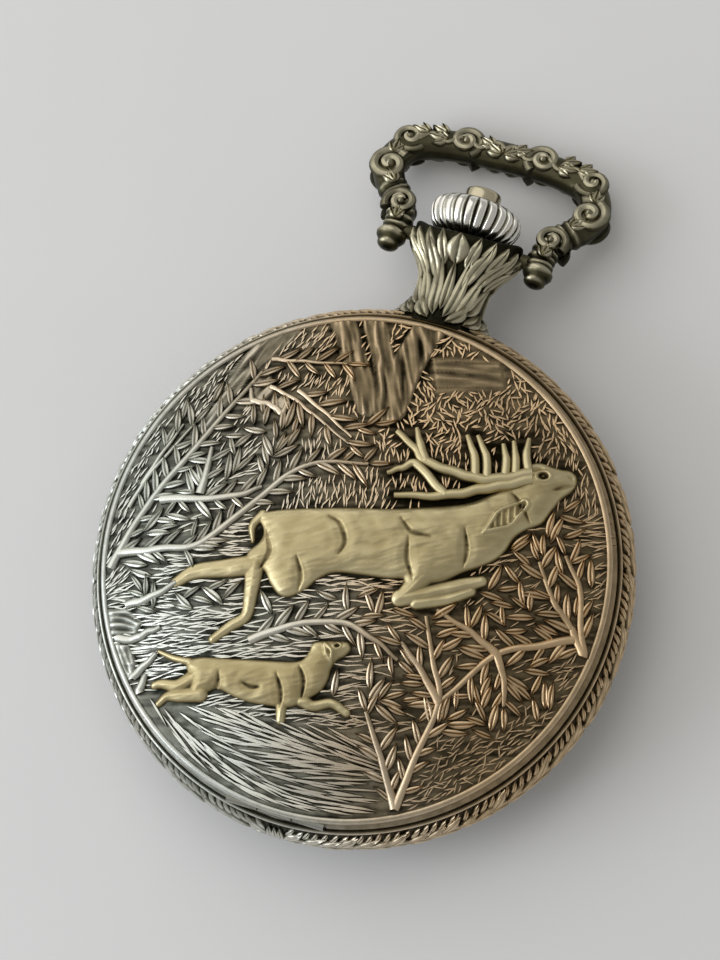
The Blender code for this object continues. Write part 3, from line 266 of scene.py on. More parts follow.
class Axis(Enum):
    """Lines that pieces are turned about."""

    UP = "up"
    STEM = "stem"
    LID_HINGE = "lid_hinge"
    BACK_HINGE = "back_hinge"

    def settle(self, points: Array) -> Array:
        """Carry points turned about Z to this line.

        Args:
            points: places, one row each.

        Returns:
            The same places about this line.
        """
        x, y, z = points.T
        if self is Axis.STEM:
            return np.stack([x, z, STEM_Z + y], -1)
        if self is Axis.UP:
            return points
        level = LID_HINGE_Z if self is Axis.LID_HINGE else BACK_HINGE_Z
        return np.stack([z, x + HINGE_Y, level + y], -1)


KNUCKLE = [(0.5, -1.5), (0.5, 1.5), (0.31, 1.5), (0.31, -1.5)]
KNUCKLE_STEPS = 24


def put_turned(piece: Piece, profile: Points | Array, steps: int, axis: Axis = Axis.UP,
               worn: float = 0.5) -> None:
    """Turn a closed profile into a ring or a solid.

    Args:
        piece: what it is.
        profile: corners of the section as (radius, height).
        steps: points round the circle.
        axis: the line that it turns about.
        worn: its patina, for the finishes that read one.
    """
    points, quads, _ = turned_shape(profile, steps)
    put_mesh(piece, axis.settle(points), quads, {"patina": np.full(len(points), worn)})


def swept(path: Array, radius: Array, sides: int, up: Array = UP, flatten: float = 1.0,
          squareness: float = 2.0) -> tuple[Array, Array]:
    """Carry a rounded section along a path, its ends drawn in to points.

    The section is a superellipse: its two half sizes are the radius across and the radius times the
    flattening along the up direction.

    Args:
        path: centreline, one row for each place.
        radius: half width at each place.
        sides: points round the section.
        up: direction of the section's height.
        flatten: height over width.
        squareness: exponent of the superellipse, 2 for an ellipse.

    Returns:
        The points and the quads of a closed tube.
    """
    run = unit(np.gradient(path, axis=0))
    across = unit(np.cross(run, up))
    rise = np.cross(across, run)
    angle = np.arange(sides) * TURN / sides
    c = np.sign(np.cos(angle)) * np.abs(np.cos(angle)) ** (2 / squareness)
    s = np.sign(np.sin(angle)) * np.abs(np.sin(angle)) ** (2 / squareness)
    offset = c[None, :, None] * across[:, None] + flatten * s[None, :, None] * rise[:, None]
    rings = path[:, None] + radius[:, None, None] * offset
    ends = [np.repeat(path[k][None], sides, 0)[None] for k in (0, -1)]
    rings = np.concatenate([ends[0], rings, ends[1]])
    return rings.reshape(-1, 3), grid_faces(len(rings), sides, wrap_columns=True)


def closed_tube(ring: Array, radius: float, sides: int = 8) -> Shape:
    """Carry a round section along a closed ring about Z: offsets lie along the ring's own radius and Z.

    Args:
        ring: centreline points.
        radius: radius of the section.
        sides: points round the section.

    Returns:
        Points, quads and patina.
    """
    out = unit(ring * np.array([1.0, 1.0, 0.0]))
    angle = np.arange(sides) * TURN / sides
    points = ring[:, None] + radius * (np.cos(angle)[None, :, None] * out[:, None]
                                       + np.sin(angle)[None, :, None] * UP)
    worn = np.broadcast_to(0.5 + 0.4 * np.cos(angle), (len(ring), sides))
    return points.reshape(-1, 3), ring_faces(len(ring), sides), {"patina": worn.ravel()}


LEAF_SECTION = (-1.0, -0.72, -0.36, -0.1, 0.0, 0.1, 0.36, 0.72, 1.0)
STROKE_SECTION = (-1.0, -0.4, 0.4, 1.0)
VEIN_HALF = 0.16
LEAF_ROOT = 0.25
EDGE_TUCK = 0.1


def leaf_shapes(leaves: list, place: Callable[[Array, Array, Array], Array], base: float, crest: float,
                section: tuple[float, ...] = LEAF_SECTION, rows: int = 9, crease: float = 0.5) -> Shape:
    """Shape every leaf at once: half width follows a sine along its length, with a creased, rounded section.

    Args:
        leaves: for each, its foot (u, v), heading, length, half width, sideways bend and extra lift.
        place: puts (u, v, lift) on the surface that carries them.
        base: lift of the leaves' edges.
        crest: how far their middles stand over their edges.
        section: places across a leaf, from edge to edge.
        rows: places along a leaf.
        crease: how deep its middle vein is, as a share of the crest.

    Returns:
        Points, quads and patina.
    """
    across = np.array(section + (0.0,))
    u, v, heading, length, width, bend, lift = (np.array(c)[:, None, None] for c in zip(*leaves))
    s = np.linspace(0, 1, rows)[None, :, None]
    t = across[None, None, :]
    side = t * width * np.sin(math.pi * s**0.8) ** 0.85 + bend * length * s * (1 - s)
    arch = np.sqrt(np.clip(1 - t * t, 0, 1)) - crease * np.exp(-(t / VEIN_HALF) ** 2)
    rise = base + lift + crest * arch + 0.3 * crest * np.sin(math.pi * s) - EDGE_TUCK * (np.abs(t) > 0.9)
    rise[:, :, -1] = base - LEAF_ROOT
    worn = np.clip(0.12 + 0.72 * arch + 0.15 * np.sin(math.pi * s), 0, 1) * np.ones_like(rise)
    c, d = np.cos(heading), np.sin(heading)
    points = place(u + s * length * c - side * d, v + s * length * d + side * c, rise)
    loop = grid_faces(rows, len(across), wrap_columns=True)
    quads = (np.arange(len(leaves))[:, None, None] * rows * len(across) + loop[None]).reshape(-1, 4)
    return points, quads, {"patina": worn.ravel()}


def feed(tree: Tree, node: bpy.types.Node, inputs: dict) -> None:
    """Link sockets or set values on a node's inputs, by name or number.

    Args:
        tree: the node's tree.
        node: the node.
        inputs: a socket or a value for each input.
    """
    for key, value in inputs.items():
        if isinstance(value, Socket):
            tree.links.new(value, node.inputs[key])
        else:
            node.inputs[key].default_value = value


def add_node(tree: Tree, kind: str, inputs: dict | None = None, **settings: object) -> bpy.types.Node:
    """Add a shader node.

    Args:
        tree: the node tree.
        kind: the node's type.
        inputs: for each input, by name or number, a socket to link or a value to set.
        settings: the node's own settings.

    Returns:
        The node.
    """
    node = tree.nodes.new(kind)
    for key, value in settings.items():
        setattr(node, key, value)
    feed(tree, node, inputs or {})
    return node


def new_material(name: str) -> tuple[Material, Tree, bpy.types.Node]:
    """Start a material with an empty Principled surface.

    Args:
        name: the material's name.

    Returns:
        The material, its tree and its surface node.
    """
    material = bpy.data.materials.new(name)
    material.use_nodes = True
    tree = material.node_tree
    tree.nodes.clear()
    surface = add_node(tree, "ShaderNodeBsdfPrincipled")
    add_node(tree, "ShaderNodeOutputMaterial", {"Surface": surface.outputs["BSDF"]})
    return material, tree, surface


def per_mm(pitch: float) -> float:
    """Texture scale whose features are about this many millimetres apart."""
    return 1.0 / (pitch * MM)


# Patina at which tarnish gives way to plate, and plate to its bright ridges.
TARNISH_LIFTS = (0.02, 0.5)
PLATE_SHINES = (0.48, 0.95)
# Painted light: the tint goes from a cool lit side at the left and bottom to a warm, darker shaded side at
# the right and top across the watch, and turns where its drift is between these.
PAINTED_LIGHT_SPAN = (-20 * MM, 18 * MM)
PAINTED_LIGHT_TURNS = (0.2, 1.05)
# A wave of scale 1 repeats every 0.314 units.
WAVE_LENGTH = 0.314


@dataclass(frozen=True)
class AgedMetal:
    """Plate with dark tarnish in its hollows and rubbed ridges; gives the eye its relief at a glance.

    The "patina" numbers of the piece run from 0 in a hollow to 1 on a ridge; on the lid's ground they also
    hold a painted shadow round the animals. Painted light tints the plate cool on its lit side and warm on
    its shaded side.
    """

    name: str
    dark: str
    middle: str
    bright: str
    # Painted light: the tint of the lit side and the tint of the shaded side.
    painted_lit_tint: str = "ffffff"
    painted_shade_tint: str = "ffffff"
    rough: float = 0.36
    spot: float = 0.9
    grain: float = 0.16
    bump: float = 0.25
    blotch: float = 11.0

    def make(self) -> Material:
        """Build the material: two smooth steps of the patina mix three colours, and painted light tints
        them: cool on the lit left and bottom, warm and darker on the shaded right and top.

        Returns:
            The material.
        """
        material, tree, surface = new_material(self.name)
        place = add_node(tree, "ShaderNodeTexCoord").outputs["Object"]
        worn = add_node(tree, "ShaderNodeAttribute", attribute_name="patina").outputs["Fac"]
        clouds = []
        for pitch, detail in ((self.spot, 4.0), (self.grain, 3.0), (self.blotch, 2.0)):
            inputs = {"Vector": place, "Scale": per_mm(pitch), "Detail": detail}
            clouds.append(add_node(tree, "ShaderNodeTexNoise", inputs).outputs["Fac"])
        spots, grain, blotches = clouds
        drift = add_node(tree, "ShaderNodeMath", {0: spots, 1: 0.3, 2: worn},
                         operation="MULTIPLY_ADD").outputs[0]
        level = add_node(tree, "ShaderNodeMath", {0: drift, 1: 0.15}, operation="SUBTRACT").outputs[0]
        plate = linear(self.dark)
        for (low, high), colour in ((TARNISH_LIFTS, self.middle), (PLATE_SHINES, self.bright)):
            share = add_node(tree, "ShaderNodeMapRange", {"Value": level, 1: low, 2: high},
                             interpolation_type="SMOOTHSTEP").outputs[0]
            plate = add_node(tree, "ShaderNodeMix", {"Factor": share, 6: plate, 7: linear(colour)},
                             data_type="RGBA").outputs[2]
        # Painted light: from the left and bottom to the right and top, the plate goes from the lit side's
        # cool tint to the shaded side's warm tint.
        split = add_node(tree, "ShaderNodeSeparateXYZ", {0: place})
        lean = add_node(tree, "ShaderNodeMath", {0: split.outputs["Y"], 1: 0.6, 2: split.outputs["X"]},
                        operation="MULTIPLY_ADD").outputs[0]
        inputs = {"Value": lean, 1: PAINTED_LIGHT_SPAN[0], 2: PAINTED_LIGHT_SPAN[1]}
        side = add_node(tree, "ShaderNodeMapRange", inputs).outputs[0]
        sway = add_node(tree, "ShaderNodeMath", {0: blotches, 1: 0.5, 2: side},
                        operation="MULTIPLY_ADD").outputs[0]
        turn = add_node(tree, "ShaderNodeMapRange", {"Value": sway, 1: PAINTED_LIGHT_TURNS[0], 2: PAINTED_LIGHT_TURNS[1]},
                        interpolation_type="SMOOTHSTEP").outputs[0]
        painted_light_tint = add_node(tree, "ShaderNodeMix", {"Factor": turn, 6: linear(self.painted_lit_tint), 7: linear(self.painted_shade_tint)},
                        data_type="RGBA").outputs[2]
        colour = add_node(tree, "ShaderNodeMix", {"Factor": 1.0, 6: plate, 7: painted_light_tint}, data_type="RGBA",
                          blend_type="MULTIPLY").outputs[2]
        rough = add_node(tree, "ShaderNodeMapRange",
                         {"Value": level, 3: self.rough + 0.22, 4: self.rough - 0.06}).outputs[0]
        bump = add_node(tree, "ShaderNodeBump", {"Height": grain, "Strength": self.bump,
                                                 "Distance": 0.03 * MM}).outputs["Normal"]
        feed(tree, surface, {"Base Color": colour, "Metallic": 1.0, "Roughness": rough, "Normal": bump})
        return material


@dataclass(frozen=True)
class WorkedMetal:
    """One metal with a tool's fine marks: stripes across it, or a grain as even as a polish leaves."""

    name: str
    colour: str
    rough: float
    stripe: float = 0.0
    marks: float = 0.5
    metallic: float = 1.0

    def make(self) -> Material:
        """Build the material.

        Returns:
            The material.
        """
        material, tree, surface = new_material(self.name)
        place = add_node(tree, "ShaderNodeTexCoord").outputs["Object"]
        grain = add_node(tree, "ShaderNodeTexNoise",
                         {"Vector": place, "Scale": per_mm(self.marks), "Detail": 3.0}).outputs["Fac"]
        height = grain
        if self.stripe:
            inputs = {"Vector": place, "Scale": WAVE_LENGTH * per_mm(self.stripe), "Distortion": 0.0}
            height = add_node(tree, "ShaderNodeTexWave", inputs, bands_direction="DIAGONAL",
                              wave_profile="SAW").outputs["Fac"]
        rough = add_node(tree, "ShaderNodeMapRange",
                         {"Value": height, 3: self.rough * 0.8, 4: self.rough * 1.25}).outputs[0]
        bump = add_node(tree, "ShaderNodeBump", {"Height": height, "Strength": 0.08,
                                                 "Distance": 0.02 * MM}).outputs["Normal"]
        shade = add_node(tree, "ShaderNodeMapRange", {"Value": grain, 3: 0.86, 4: 1.1}).outputs[0]
        colour = add_node(tree, "ShaderNodeMix", {"Factor": 1.0, 6: linear(self.colour), 7: shade},
                          data_type="RGBA", blend_type="MULTIPLY").outputs[2]
        feed(tree, surface, {"Base Color": colour, "Metallic": self.metallic, "Roughness": rough,
                             "Normal": bump})
        return material


@dataclass(frozen=True)
class ClearGlass:
    """Watch glass: clear enough to read the dial through, with a soft gleam."""

    name: str

    def make(self) -> Material:
        """Build the material."""
        material, tree, surface = new_material(self.name)
        feed(tree, surface, {"Base Color": linear("fbfdfc"), "Roughness": 0.02, "Transmission Weight": 1.0,
                             "IOR": 1.5})
        return material


@dataclass(frozen=True)
class PaleFloor:
    """Off-white board under the watch, a little mottled, and plain to the eye."""

    name: str
    colour: str
    mottle: float = 14.0

    def make(self) -> Material:
        """Build the material.

        Returns:
            The material.
        """
        material, tree, surface = new_material(self.name)
        place = add_node(tree, "ShaderNodeTexCoord").outputs["Object"]
        inputs = {"Vector": place, "Scale": per_mm(self.mottle), "Detail": 3.0}
        cloud = add_node(tree, "ShaderNodeTexNoise", inputs).outputs["Fac"]
        shade = add_node(tree, "ShaderNodeMapRange", {"Value": cloud, 3: 0.985, 4: 1.015}).outputs[0]
        colour = add_node(tree, "ShaderNodeMix", {"Factor": 1.0, 6: linear(self.colour), 7: shade},
                          data_type="RGBA", blend_type="MULTIPLY").outputs[2]
        feed(tree, surface, {"Base Color": colour, "Roughness": 0.6})
        return material


class Finishes:
    """Every finish of the watch, made once."""

    def __init__(self) -> None:
        """Make the materials."""
        # Painted light: the plate's lit side is tinted cool and its shaded side warm.
        painted_side_tints = {"painted_lit_tint": "f6fbff", "painted_shade_tint": "efd4b4"}
        self.relief = AgedMetal("silver_plate_tarnished", "1b1c15", "929285", "e6e5da", **painted_side_tints).make()
        self.leaf = AgedMetal("silver_plate_rubbed", "1f2018", "939385", "e9e8db", painted_lit_tint="f6fbff",
                              painted_shade_tint="efd0ae").make()
        self.gold = AgedMetal("gold_wash", "352c1c", "ad9e74", "d8cba0", rough=0.44, spot=1.6).make()
        self.ornament = AgedMetal("silver_plate_cast", "1a1a13", "797869", "e6e4d8", rough=0.29,
                                  **painted_side_tints).make()
        self.scroll = AgedMetal("silver_plate_bow", "15140d", "4c4936", "c2bba0", rough=0.29).make()
        self.polish = WorkedMetal("silver_plate_polished", "c9c8c0", 0.2).make()
        self.rim = WorkedMetal("silver_plate_rim", "a9a89e", 0.26).make()
        self.crown = AgedMetal("silver_plate_crown", "2a2a22", "b2b0a2", "f3f1e8", rough=0.24,
                               bump=0.1).make()
        self.button = WorkedMetal("silver_plate_worn_to_brass", "cdc3a6", 0.24).make()
        self.steel = WorkedMetal("steel_polished", "b6b8bb", 0.22).make()
        self.blued = WorkedMetal("steel_heat_blued", "22346e", 0.24).make()
        self.brass = WorkedMetal("brass_gilt", "d3ad62", 0.27).make()
        self.nickel = WorkedMetal("nickel_striped", "c4c0b6", 0.28, stripe=1.4).make()
        self.enamel = WorkedMetal("enamel_white", "eeece4", 0.16, marks=0.8, metallic=0.0).make()
        self.ink = WorkedMetal("enamel_black", "16161a", 0.3, metallic=0.0).make()
        self.ruby = WorkedMetal("synthetic_ruby", "a5122f", 0.08, metallic=0.0).make()
        self.glass = ClearGlass("glass_clear").make()


# The lid's picture has its own level axes, u to its right and v up, turned by this much in the watch.
PICTURE_TURN = math.radians(16.2)


def turned_by(x: Array, y: Array, angle: float) -> tuple[Array, Array]:
    """Turn flat places about the middle: by -PICTURE_TURN from the watch to the picture, and back by +."""
    c, s = math.cos(angle), math.sin(angle)
    return x * c - y * s, y * c + x * s


DOME_TOP = 13.9
DOME_SQUARE = 0.0069
DOME_FOURTH = 1.3e-6


def lid_dome(r_squared: Array) -> Array:
    """Height of the smooth lid: it falls with the radius squared, and a little with its fourth power."""
    return DOME_TOP - DOME_SQUARE * r_squared - DOME_FOURTH * r_squared**2


@dataclass
class Canvas:
    """Heights in millimetres over a square of the picture plane, drawn with strokes and areas."""

    low: tuple[float, float]
    high: tuple[float, float]
    step: float
    u: Array = field(init=False)
    v: Array = field(init=False)
    height: Array = field(init=False)

    def __post_init__(self) -> None:
        """Lay out the grid."""
        us, vs = (np.arange(self.low[k], self.high[k] + self.step, self.step) for k in (0, 1))
        self.u, self.v = np.meshgrid(us, vs)
        self.height = np.zeros_like(self.u)

    def window(self, path: Array, margin: float) -> Window:
        """Rows and columns of the grid round a path.

        Args:
            path: its points.
            margin: how far past them.

        Returns:
            The window.
        """
        lows = np.floor((path.min(0) - margin - self.low) / self.step).astype(int)
        highs = np.ceil((path.max(0) + margin - self.low) / self.step).astype(int) + 1
        return tuple(slice(max(lows[k], 0), max(highs[k], 0)) for k in (1, 0))

    @staticmethod
    def nearest(u: Array, v: Array, a: Array, b: Array) -> tuple[Array, Array]:
        """Share of the way from a to b at which the line is nearest to each place, and that distance."""
        run = b - a
        u, v = u - a[0], v - a[1]
        t = np.clip((u * run[0] + v * run[1]) / max(run @ run, TINY), 0, 1)
        return t, np.hypot(u - t * run[0], v - t * run[1])

    def stroke(self, path: Array, width: Array, margin: float = 0.0) -> tuple[Window, Array]:
        """Depth inside a stroke: its half width less the distance to its centreline.

        Args:
            path: centreline points.
            width: half width at each point.
            margin: how far outside it is worked out.

        Returns:
            The window and the depth there, negative outside.
        """
        view = self.window(path, float(np.max(width)) + margin)
        u, v = self.u[view], self.v[view]
        depth = np.full(u.shape, -FAR)
        for a, b, wa, wb in zip(path[:-1], path[1:], width[:-1], width[1:]):
            t, gap = self.nearest(u, v, a, b)
            depth = np.maximum(depth, wa + (wb - wa) * t - gap)
        return view, depth

    def area(self, outline: Array, margin: float = 0.0) -> tuple[Window, Array]:
        """Depth inside a closed outline: distance to its edge, negative outside.

        Args:
            outline: its corners, in order.
            margin: how far outside it is worked out.

        Returns:
            The window and the depth there.
        """
        view = self.window(outline, margin)
        u, v = self.u[view], self.v[view]
        gap = np.full(u.shape, FAR)
        inside = np.zeros(u.shape, bool)
        for a, b in zip(outline, np.roll(outline, -1, 0)):
            gap = np.minimum(gap, self.nearest(u, v, a, b)[1])
            rise = b[1] - a[1]
            level = a[0] + (v - a[1]) / (rise if abs(rise) > TINY else TINY) * (b[0] - a[0])
            inside ^= ((a[1] > v) != (b[1] > v)) & (u < level)
        return view, np.where(inside, gap, -gap)

    def raise_to(self, view: Window, heights: Array) -> None:
        """Keep the higher of the grid and these heights."""
        self.height[view] = np.maximum(self.height[view], heights)

    def cut(self, path: Array, width: float, depth: float) -> None:
        """Sink a rounded groove along a path, finer towards its ends."""
        taper = 0.4 + 0.6 * np.sin(np.linspace(0.1, math.pi - 0.1, len(path)))
        view, inside = self.stroke(path, width * taper)
        self.height[view] -= depth * smooth(inside, 0.0, 0.8 * width)

    def waves(self, shape: tuple[int, ...]) -> tuple[Array, Array]:
        """Waves per millimetre down and across the spectrum of a grid of this shape."""
        return np.fft.fftfreq(shape[0], self.step)[:, None], np.fft.rfftfreq(shape[1], self.step)[None, :]

    def blurred(self, values: Array, radius: float) -> Array:
        """Spread values with a bell of this radius, by a product of their spectra."""
        rows, columns = self.waves(values.shape)
        bell = np.exp(-2 * (math.pi * radius) ** 2 * (rows**2 + columns**2))
        return np.fft.irfft2(np.fft.rfft2(values) * bell, values.shape)

    def read(self, values: Array, u: Array, v: Array) -> Array:
        """Values between the grid's points, straight along each axis.

        Args:
            values: one for each grid point.
            u: places across.
            v: places up.

        Returns:
            A value for each place.
        """
        c = np.clip((u - self.low[0]) / self.step, 0, values.shape[1] - 1.001)
        r = np.clip((v - self.low[1]) / self.step, 0, values.shape[0] - 1.001)
        i, j = r.astype(int), c.astype(int)
        a, b = r - i, c - j
        return ((values[i, j] * (1 - b) + values[i, j + 1] * b) * (1 - a)
                + (values[i + 1, j] * (1 - b) + values[i + 1, j + 1] * b) * a)

    def streaks(self, rng: np.random.Generator, length: float, width: float, lean: float = 0.0) -> Array:
        """Unevenness from -1 to 1, drawn out along one direction.

        Args:
            rng: source of the noise.
            length: reach along the direction.
            width: reach across it.
            lean: the direction's angle.

        Returns:
            Noise spread by a bell of that length and width.
        """
        rows, columns = self.waves(self.u.shape)
        ahead = columns * math.cos(lean) + rows * math.sin(lean)
        aside = rows * math.cos(lean) - columns * math.sin(lean)
        bell = np.exp(-2 * math.pi**2 * ((length * ahead) ** 2 + (width * aside) ** 2))
        spread = np.fft.irfft2(np.fft.rfft2(rng.standard_normal(self.u.shape)) * bell, self.u.shape)
        return np.tanh(1.3 * spread / spread.std())


def shell_faces(keep: Array) -> tuple[Array, Array]:
    """Faces of a plate over the kept cells of a grid: its top, its underside and its walls.

    Args:
        keep: which cells are in, by row and column.

    Returns:
        The grid points used, and quads; the underside's points follow the top's in the same order.
    """
    width = keep.shape[1] + 1
    r, c = np.nonzero(keep)
    a = r * width + c
    used, order = np.unique(np.stack([a, a + 1, a + width + 1, a + width], 1), return_inverse=True)
    quads = order.reshape(-1, 4)
    n = len(used)
    edges = np.concatenate([quads[:, [k, (k + 1) % 4]] for k in range(4)])
    rim = edges[~np.isin(edges[:, 0] * n + edges[:, 1], edges[:, 1] * n + edges[:, 0])]
    walls = np.stack([rim[:, 1], rim[:, 0], rim[:, 0] + n, rim[:, 1] + n], 1)
    return used, np.concatenate([quads, quads[:, ::-1] + n, walls])


LID_REACH = 22.3
GROUND_DROP = 0.45

TRUNKS = [[(-1.6, 22.1), (-0.2, 18.3), (1.3, 13.9)], [(1.2, 22.1), (2.4, 18.0), (2.6, 14.0)],
          [(6.4, 21.8), (4.6, 18.0), (3.2, 13.6)]]
TRUNK_WIDTHS = (1.1, 1.0, 1.5)
LEANING_TRUNK = [(-6.4, 21.4), (-9.4, 18.9), (-11.7, 15.8), (-13.7, 12.5)]
BRANCHES = [[(-21.7, -0.3), (-20.4, 2.2), (-17.9, 6.0), (-13.4, 11.4), (-8.6, 17.4)],
            [(-21.1, 1.0), (-17.3, 1.2), (-13.1, 1.6), (-8.0, 5.4), (-3.9, 8.3), (1.6, 8.4)],
            [(-17.2, 5.7), (-10.9, 5.6), (-7.8, 6.4)],
            [(-13.5, 6.0), (-13.0, 8.2), (-12.7, 10.3)],
            [(20.3, -8.2), (19.4, -6.1), (19.0, -5.4), (17.6, -3.2), (16.5, -0.1)],
            [(20.3, -8.2), (20.0, -5.8), (19.9, -2.3), (18.7, 0.5)],
            [(19.4, -6.7), (15.8, -7.5), (13.0, -8.2), (9.0, -11.7), (7.9, -12.7)],
            [(13.0, -8.2), (10.8, -6.4), (7.9, -4.6)],
            [(13.0, -8.2), (13.6, -10.4), (13.6, -12.6)],
            [(4.3, -21.4), (5.8, -17.7), (8.1, -12.4), (7.6, -8.9), (7.0, -5.1)],
            [(4.3, -21.4), (3.2, -17.3), (1.9, -13.3)],
            [(8.1, -12.4), (6.5, -9.6), (4.9, -7.4)],
            [(-8.4, -7.2), (-4.8, -6.0), (-0.4, -5.7), (2.6, -7.2), (4.6, -8.9)]]
TWIGS = [[(-7.7, 15.9), (-5.6, 14.7), (-3.4, 12.9), (-0.2, 10.2)],
         [(-5.1, 15.4), (-2.4, 13.1), (0.0, 10.8)],
         [(-7.8, 18.6), (-5.2, 18.3), (-0.9, 17.9)],
         [(-20.3, 5.2), (-18.5, 8.1), (-14.5, 12.7)],
         [(-19.2, 7.2), (-17.6, 9.8), (-15.6, 12.7)]]
FALLEN_LOG = [(-21.9, -3.9), (-20.0, -3.9), (-18.4, -5.3), (-19.0, -6.3), (-21.6, -6.3)]
LOG_CUTS = [[(-21.8, -4.5), (-20.0, -4.6), (-18.6, -5.3)], [(-21.7, -5.1), (-20.4, -5.1), (-19.0, -5.5)],
            [(-21.7, -5.7), (-20.4, -5.8), (-19.2, -5.9)]]
STUMP = [(-21.2, -6.9), (-19.7, -7.1), (-18.9, -8.8), (-19.1, -10.0), (-19.6, -10.4), (-20.4, -8.8)]
STUMP_CUTS = [[(-20.6, -7.2), (-20.0, -8.6), (-19.6, -9.8)], [(-20.0, -7.3), (-19.5, -8.8)]]
LIMBS = [[(-21.3, -6.55), (-19.2, -6.7), (-18.0, -6.2), (-16.7, -5.8)],
         [(-20.0, -3.7), (-17.7, -3.1), (-15.3, -1.9)],
         [(-19.6, -10.4), (-18.4, -9.3), (-17.0, -8.1)], [(-18.7, -11.6), (-18.0, -9.8)]]
BROKEN_LOG = [(-9.5, 15.6), (-9.0, 16.9), (-7.8, 17.1), (-7.6, 15.9), (-5.9, 14.6), (-6.3, 13.3),
              (-9.2, 14.5)]
LOG_LIP = [(-9.5, 15.8), (-9.2, 14.6), (-8.1, 14.3), (-7.2, 13.9), (-6.4, 13.3), (-6.0, 14.3)]
PANEL = [(6.6, 18.5), (12.6, 18.2), (13.1, 15.7), (7.2, 15.3)]
PLANKS = [[(6.4, 18.3), (12.8, 18.0)], [(6.8, 17.1), (13.0, 16.9)], [(7.0, 15.6), (13.2, 15.8)],
          [(6.6, 18.4), (7.1, 15.4)]]
MEADOW = [(-19.2, -10.6), (-17.2, -11.6), (-10.1, -13.3), (-1.2, -14.7), (2.4, -15.7), (3.7, -21.6),
          (-0.4, -22.2), (-9.7, -20.0), (-15.4, -16.2)]
# Places that carry loose twigs: middle, half sizes, and twigs tried in it.
THICKETS = [((-15.8, 8.2), (4.8, 5.0), 40), ((-10.4, 9.2), (4.6, 4.6), 22), ((-17.2, 2.0), (3.6, 4.4), 26),
            ((-4.5, 9.6), (5.5, 3.0), 12), ((13.5, -5.2), (6.4, 5.0), 60), ((11.8, -11.6), (5.2, 5.0), 44),
            ((17.4, -1.6), (2.8, 3.8), 16), ((-1.4, -5.6), (6.4, 1.7), 12), ((1.2, -10.6), (2.6, 3.4), 10),
            ((-13.0, -3.2), (4.6, 2.0), 10), ((16.4, 2.6), (2.0, 2.8), 6)]


@dataclass(frozen=True)
class Animal:
    """Outline, limbs and modelling of one animal of the lid's hunting scene, in picture millimetres."""

    name: str
    outline: tuple
    limbs: tuple
    limb_width: tuple
    ear: tuple
    ear_width: tuple
    eye: tuple
    bulges: tuple
    grooves: tuple
    height: float
    edge: float
    worn: float


STAG = Animal(
    "stag",
    ((-8.1, 3.9), (-6.4, 4.3), (-3.3, 4.4), (0.3, 4.4), (3.7, 4.3), (7.2, 4.5), (9.9, 4.8), (11.6, 5.4),
     (13.1, 6.3), (14.2, 7.1), (14.8, 8.1), (15.6, 8.7), (16.5, 8.8), (17.4, 8.5), (18.3, 8.3), (19.0, 8.2),
     (19.5, 7.7), (19.5, 6.9), (19.0, 6.2), (18.3, 5.6), (17.6, 4.6), (16.7, 3.3), (15.5, 2.7), (14.4, 1.9),
     (13.7, 0.8), (12.8, -0.1), (11.4, -0.8), (10.1, -1.3), (8.7, -2.1), (7.4, -2.5), (6.0, -3.0),
     (4.8, -3.6), (4.5, -3.0), (5.0, -2.0), (3.5, -1.9), (1.3, -1.6), (-0.9, -1.4), (-2.3, -1.9),
     (-3.6, -2.9), (-4.9, -3.5), (-5.9, -3.3), (-6.7, -2.3), (-7.3, -1.2), (-8.2, -0.8), (-9.1, -0.5),
     (-8.8, 0.6), (-7.8, 1.5), (-7.5, 2.5)),
    (((-7.6, 3.9), (-8.5, 2.9), (-8.4, 1.5)),
     ((-8.1, -0.5), (-8.4, -2.9), (-8.8, -5.0), (-10.2, -5.9), (-11.8, -7.0)),
     ((-8.4, -0.6), (-10.7, -0.8), (-13.6, -1.0), (-15.4, -1.9)),
     ((7.3, -1.1), (5.7, -2.8), (4.7, -3.6)),
     ((4.7, -3.6), (7.4, -3.1), (10.1, -2.4), (11.7, -2.0)),
     ((6.1, -4.0), (8.7, -3.6), (10.8, -2.9))),
    ((0.5, 0.42, 0.2), (0.95, 0.7, 0.55, 0.5, 0.42), (0.95, 0.85, 0.7, 0.5), (1.2, 0.8, 0.7),
     (0.8, 0.8, 0.7, 0.5), (0.6, 0.6, 0.45)),
    ((15.2, 4.9), (13.6, 3.6), (11.8, 2.2)),
    (0.45, 0.95, 0.1),
    (16.7, 7.55, 0.5),
    ((-4.9, 0.7, 2.6, 0.16), (7.5, 0.9, 2.4, 0.14), (0.4, 1.8, 3.0, 0.08), (12.2, 3.6, 1.9, 0.1),
     (16.5, 5.4, 1.2, 0.14), (18.7, 7.3, 0.6, 0.08), (6.5, -1.7, 1.0, 0.1), (15.6, 8.0, 0.7, 0.1)),
    (((-1.6, 3.6), (-0.6, 2.9), (-0.1, 1.3), (-0.6, 0.2)), ((4.7, 3.4), (5.7, 2.2), (7.3, 1.8)),
     ((5.4, 1.7), (5.3, -0.1), (5.8, -2.0)), ((10.2, 2.5), (10.4, 0.7), (10.1, -0.8)),
     ((-4.3, 0.0), (-3.9, -1.7), (-4.2, -3.0)), ((17.5, 6.3), (18.3, 6.6), (19.4, 6.9)),
     ((18.7, 7.75), (19.05, 7.5), (19.1, 7.3)), ((15.4, 7.9), (16.0, 8.2), (16.7, 8.2)),
     ((14.1, 5.9), (14.8, 5.0), (15.7, 3.2)), ((-7.3, 2.4), (-6.8, 0.6), (-7.6, -0.9))),
    0.62, 2.2, 0.64)

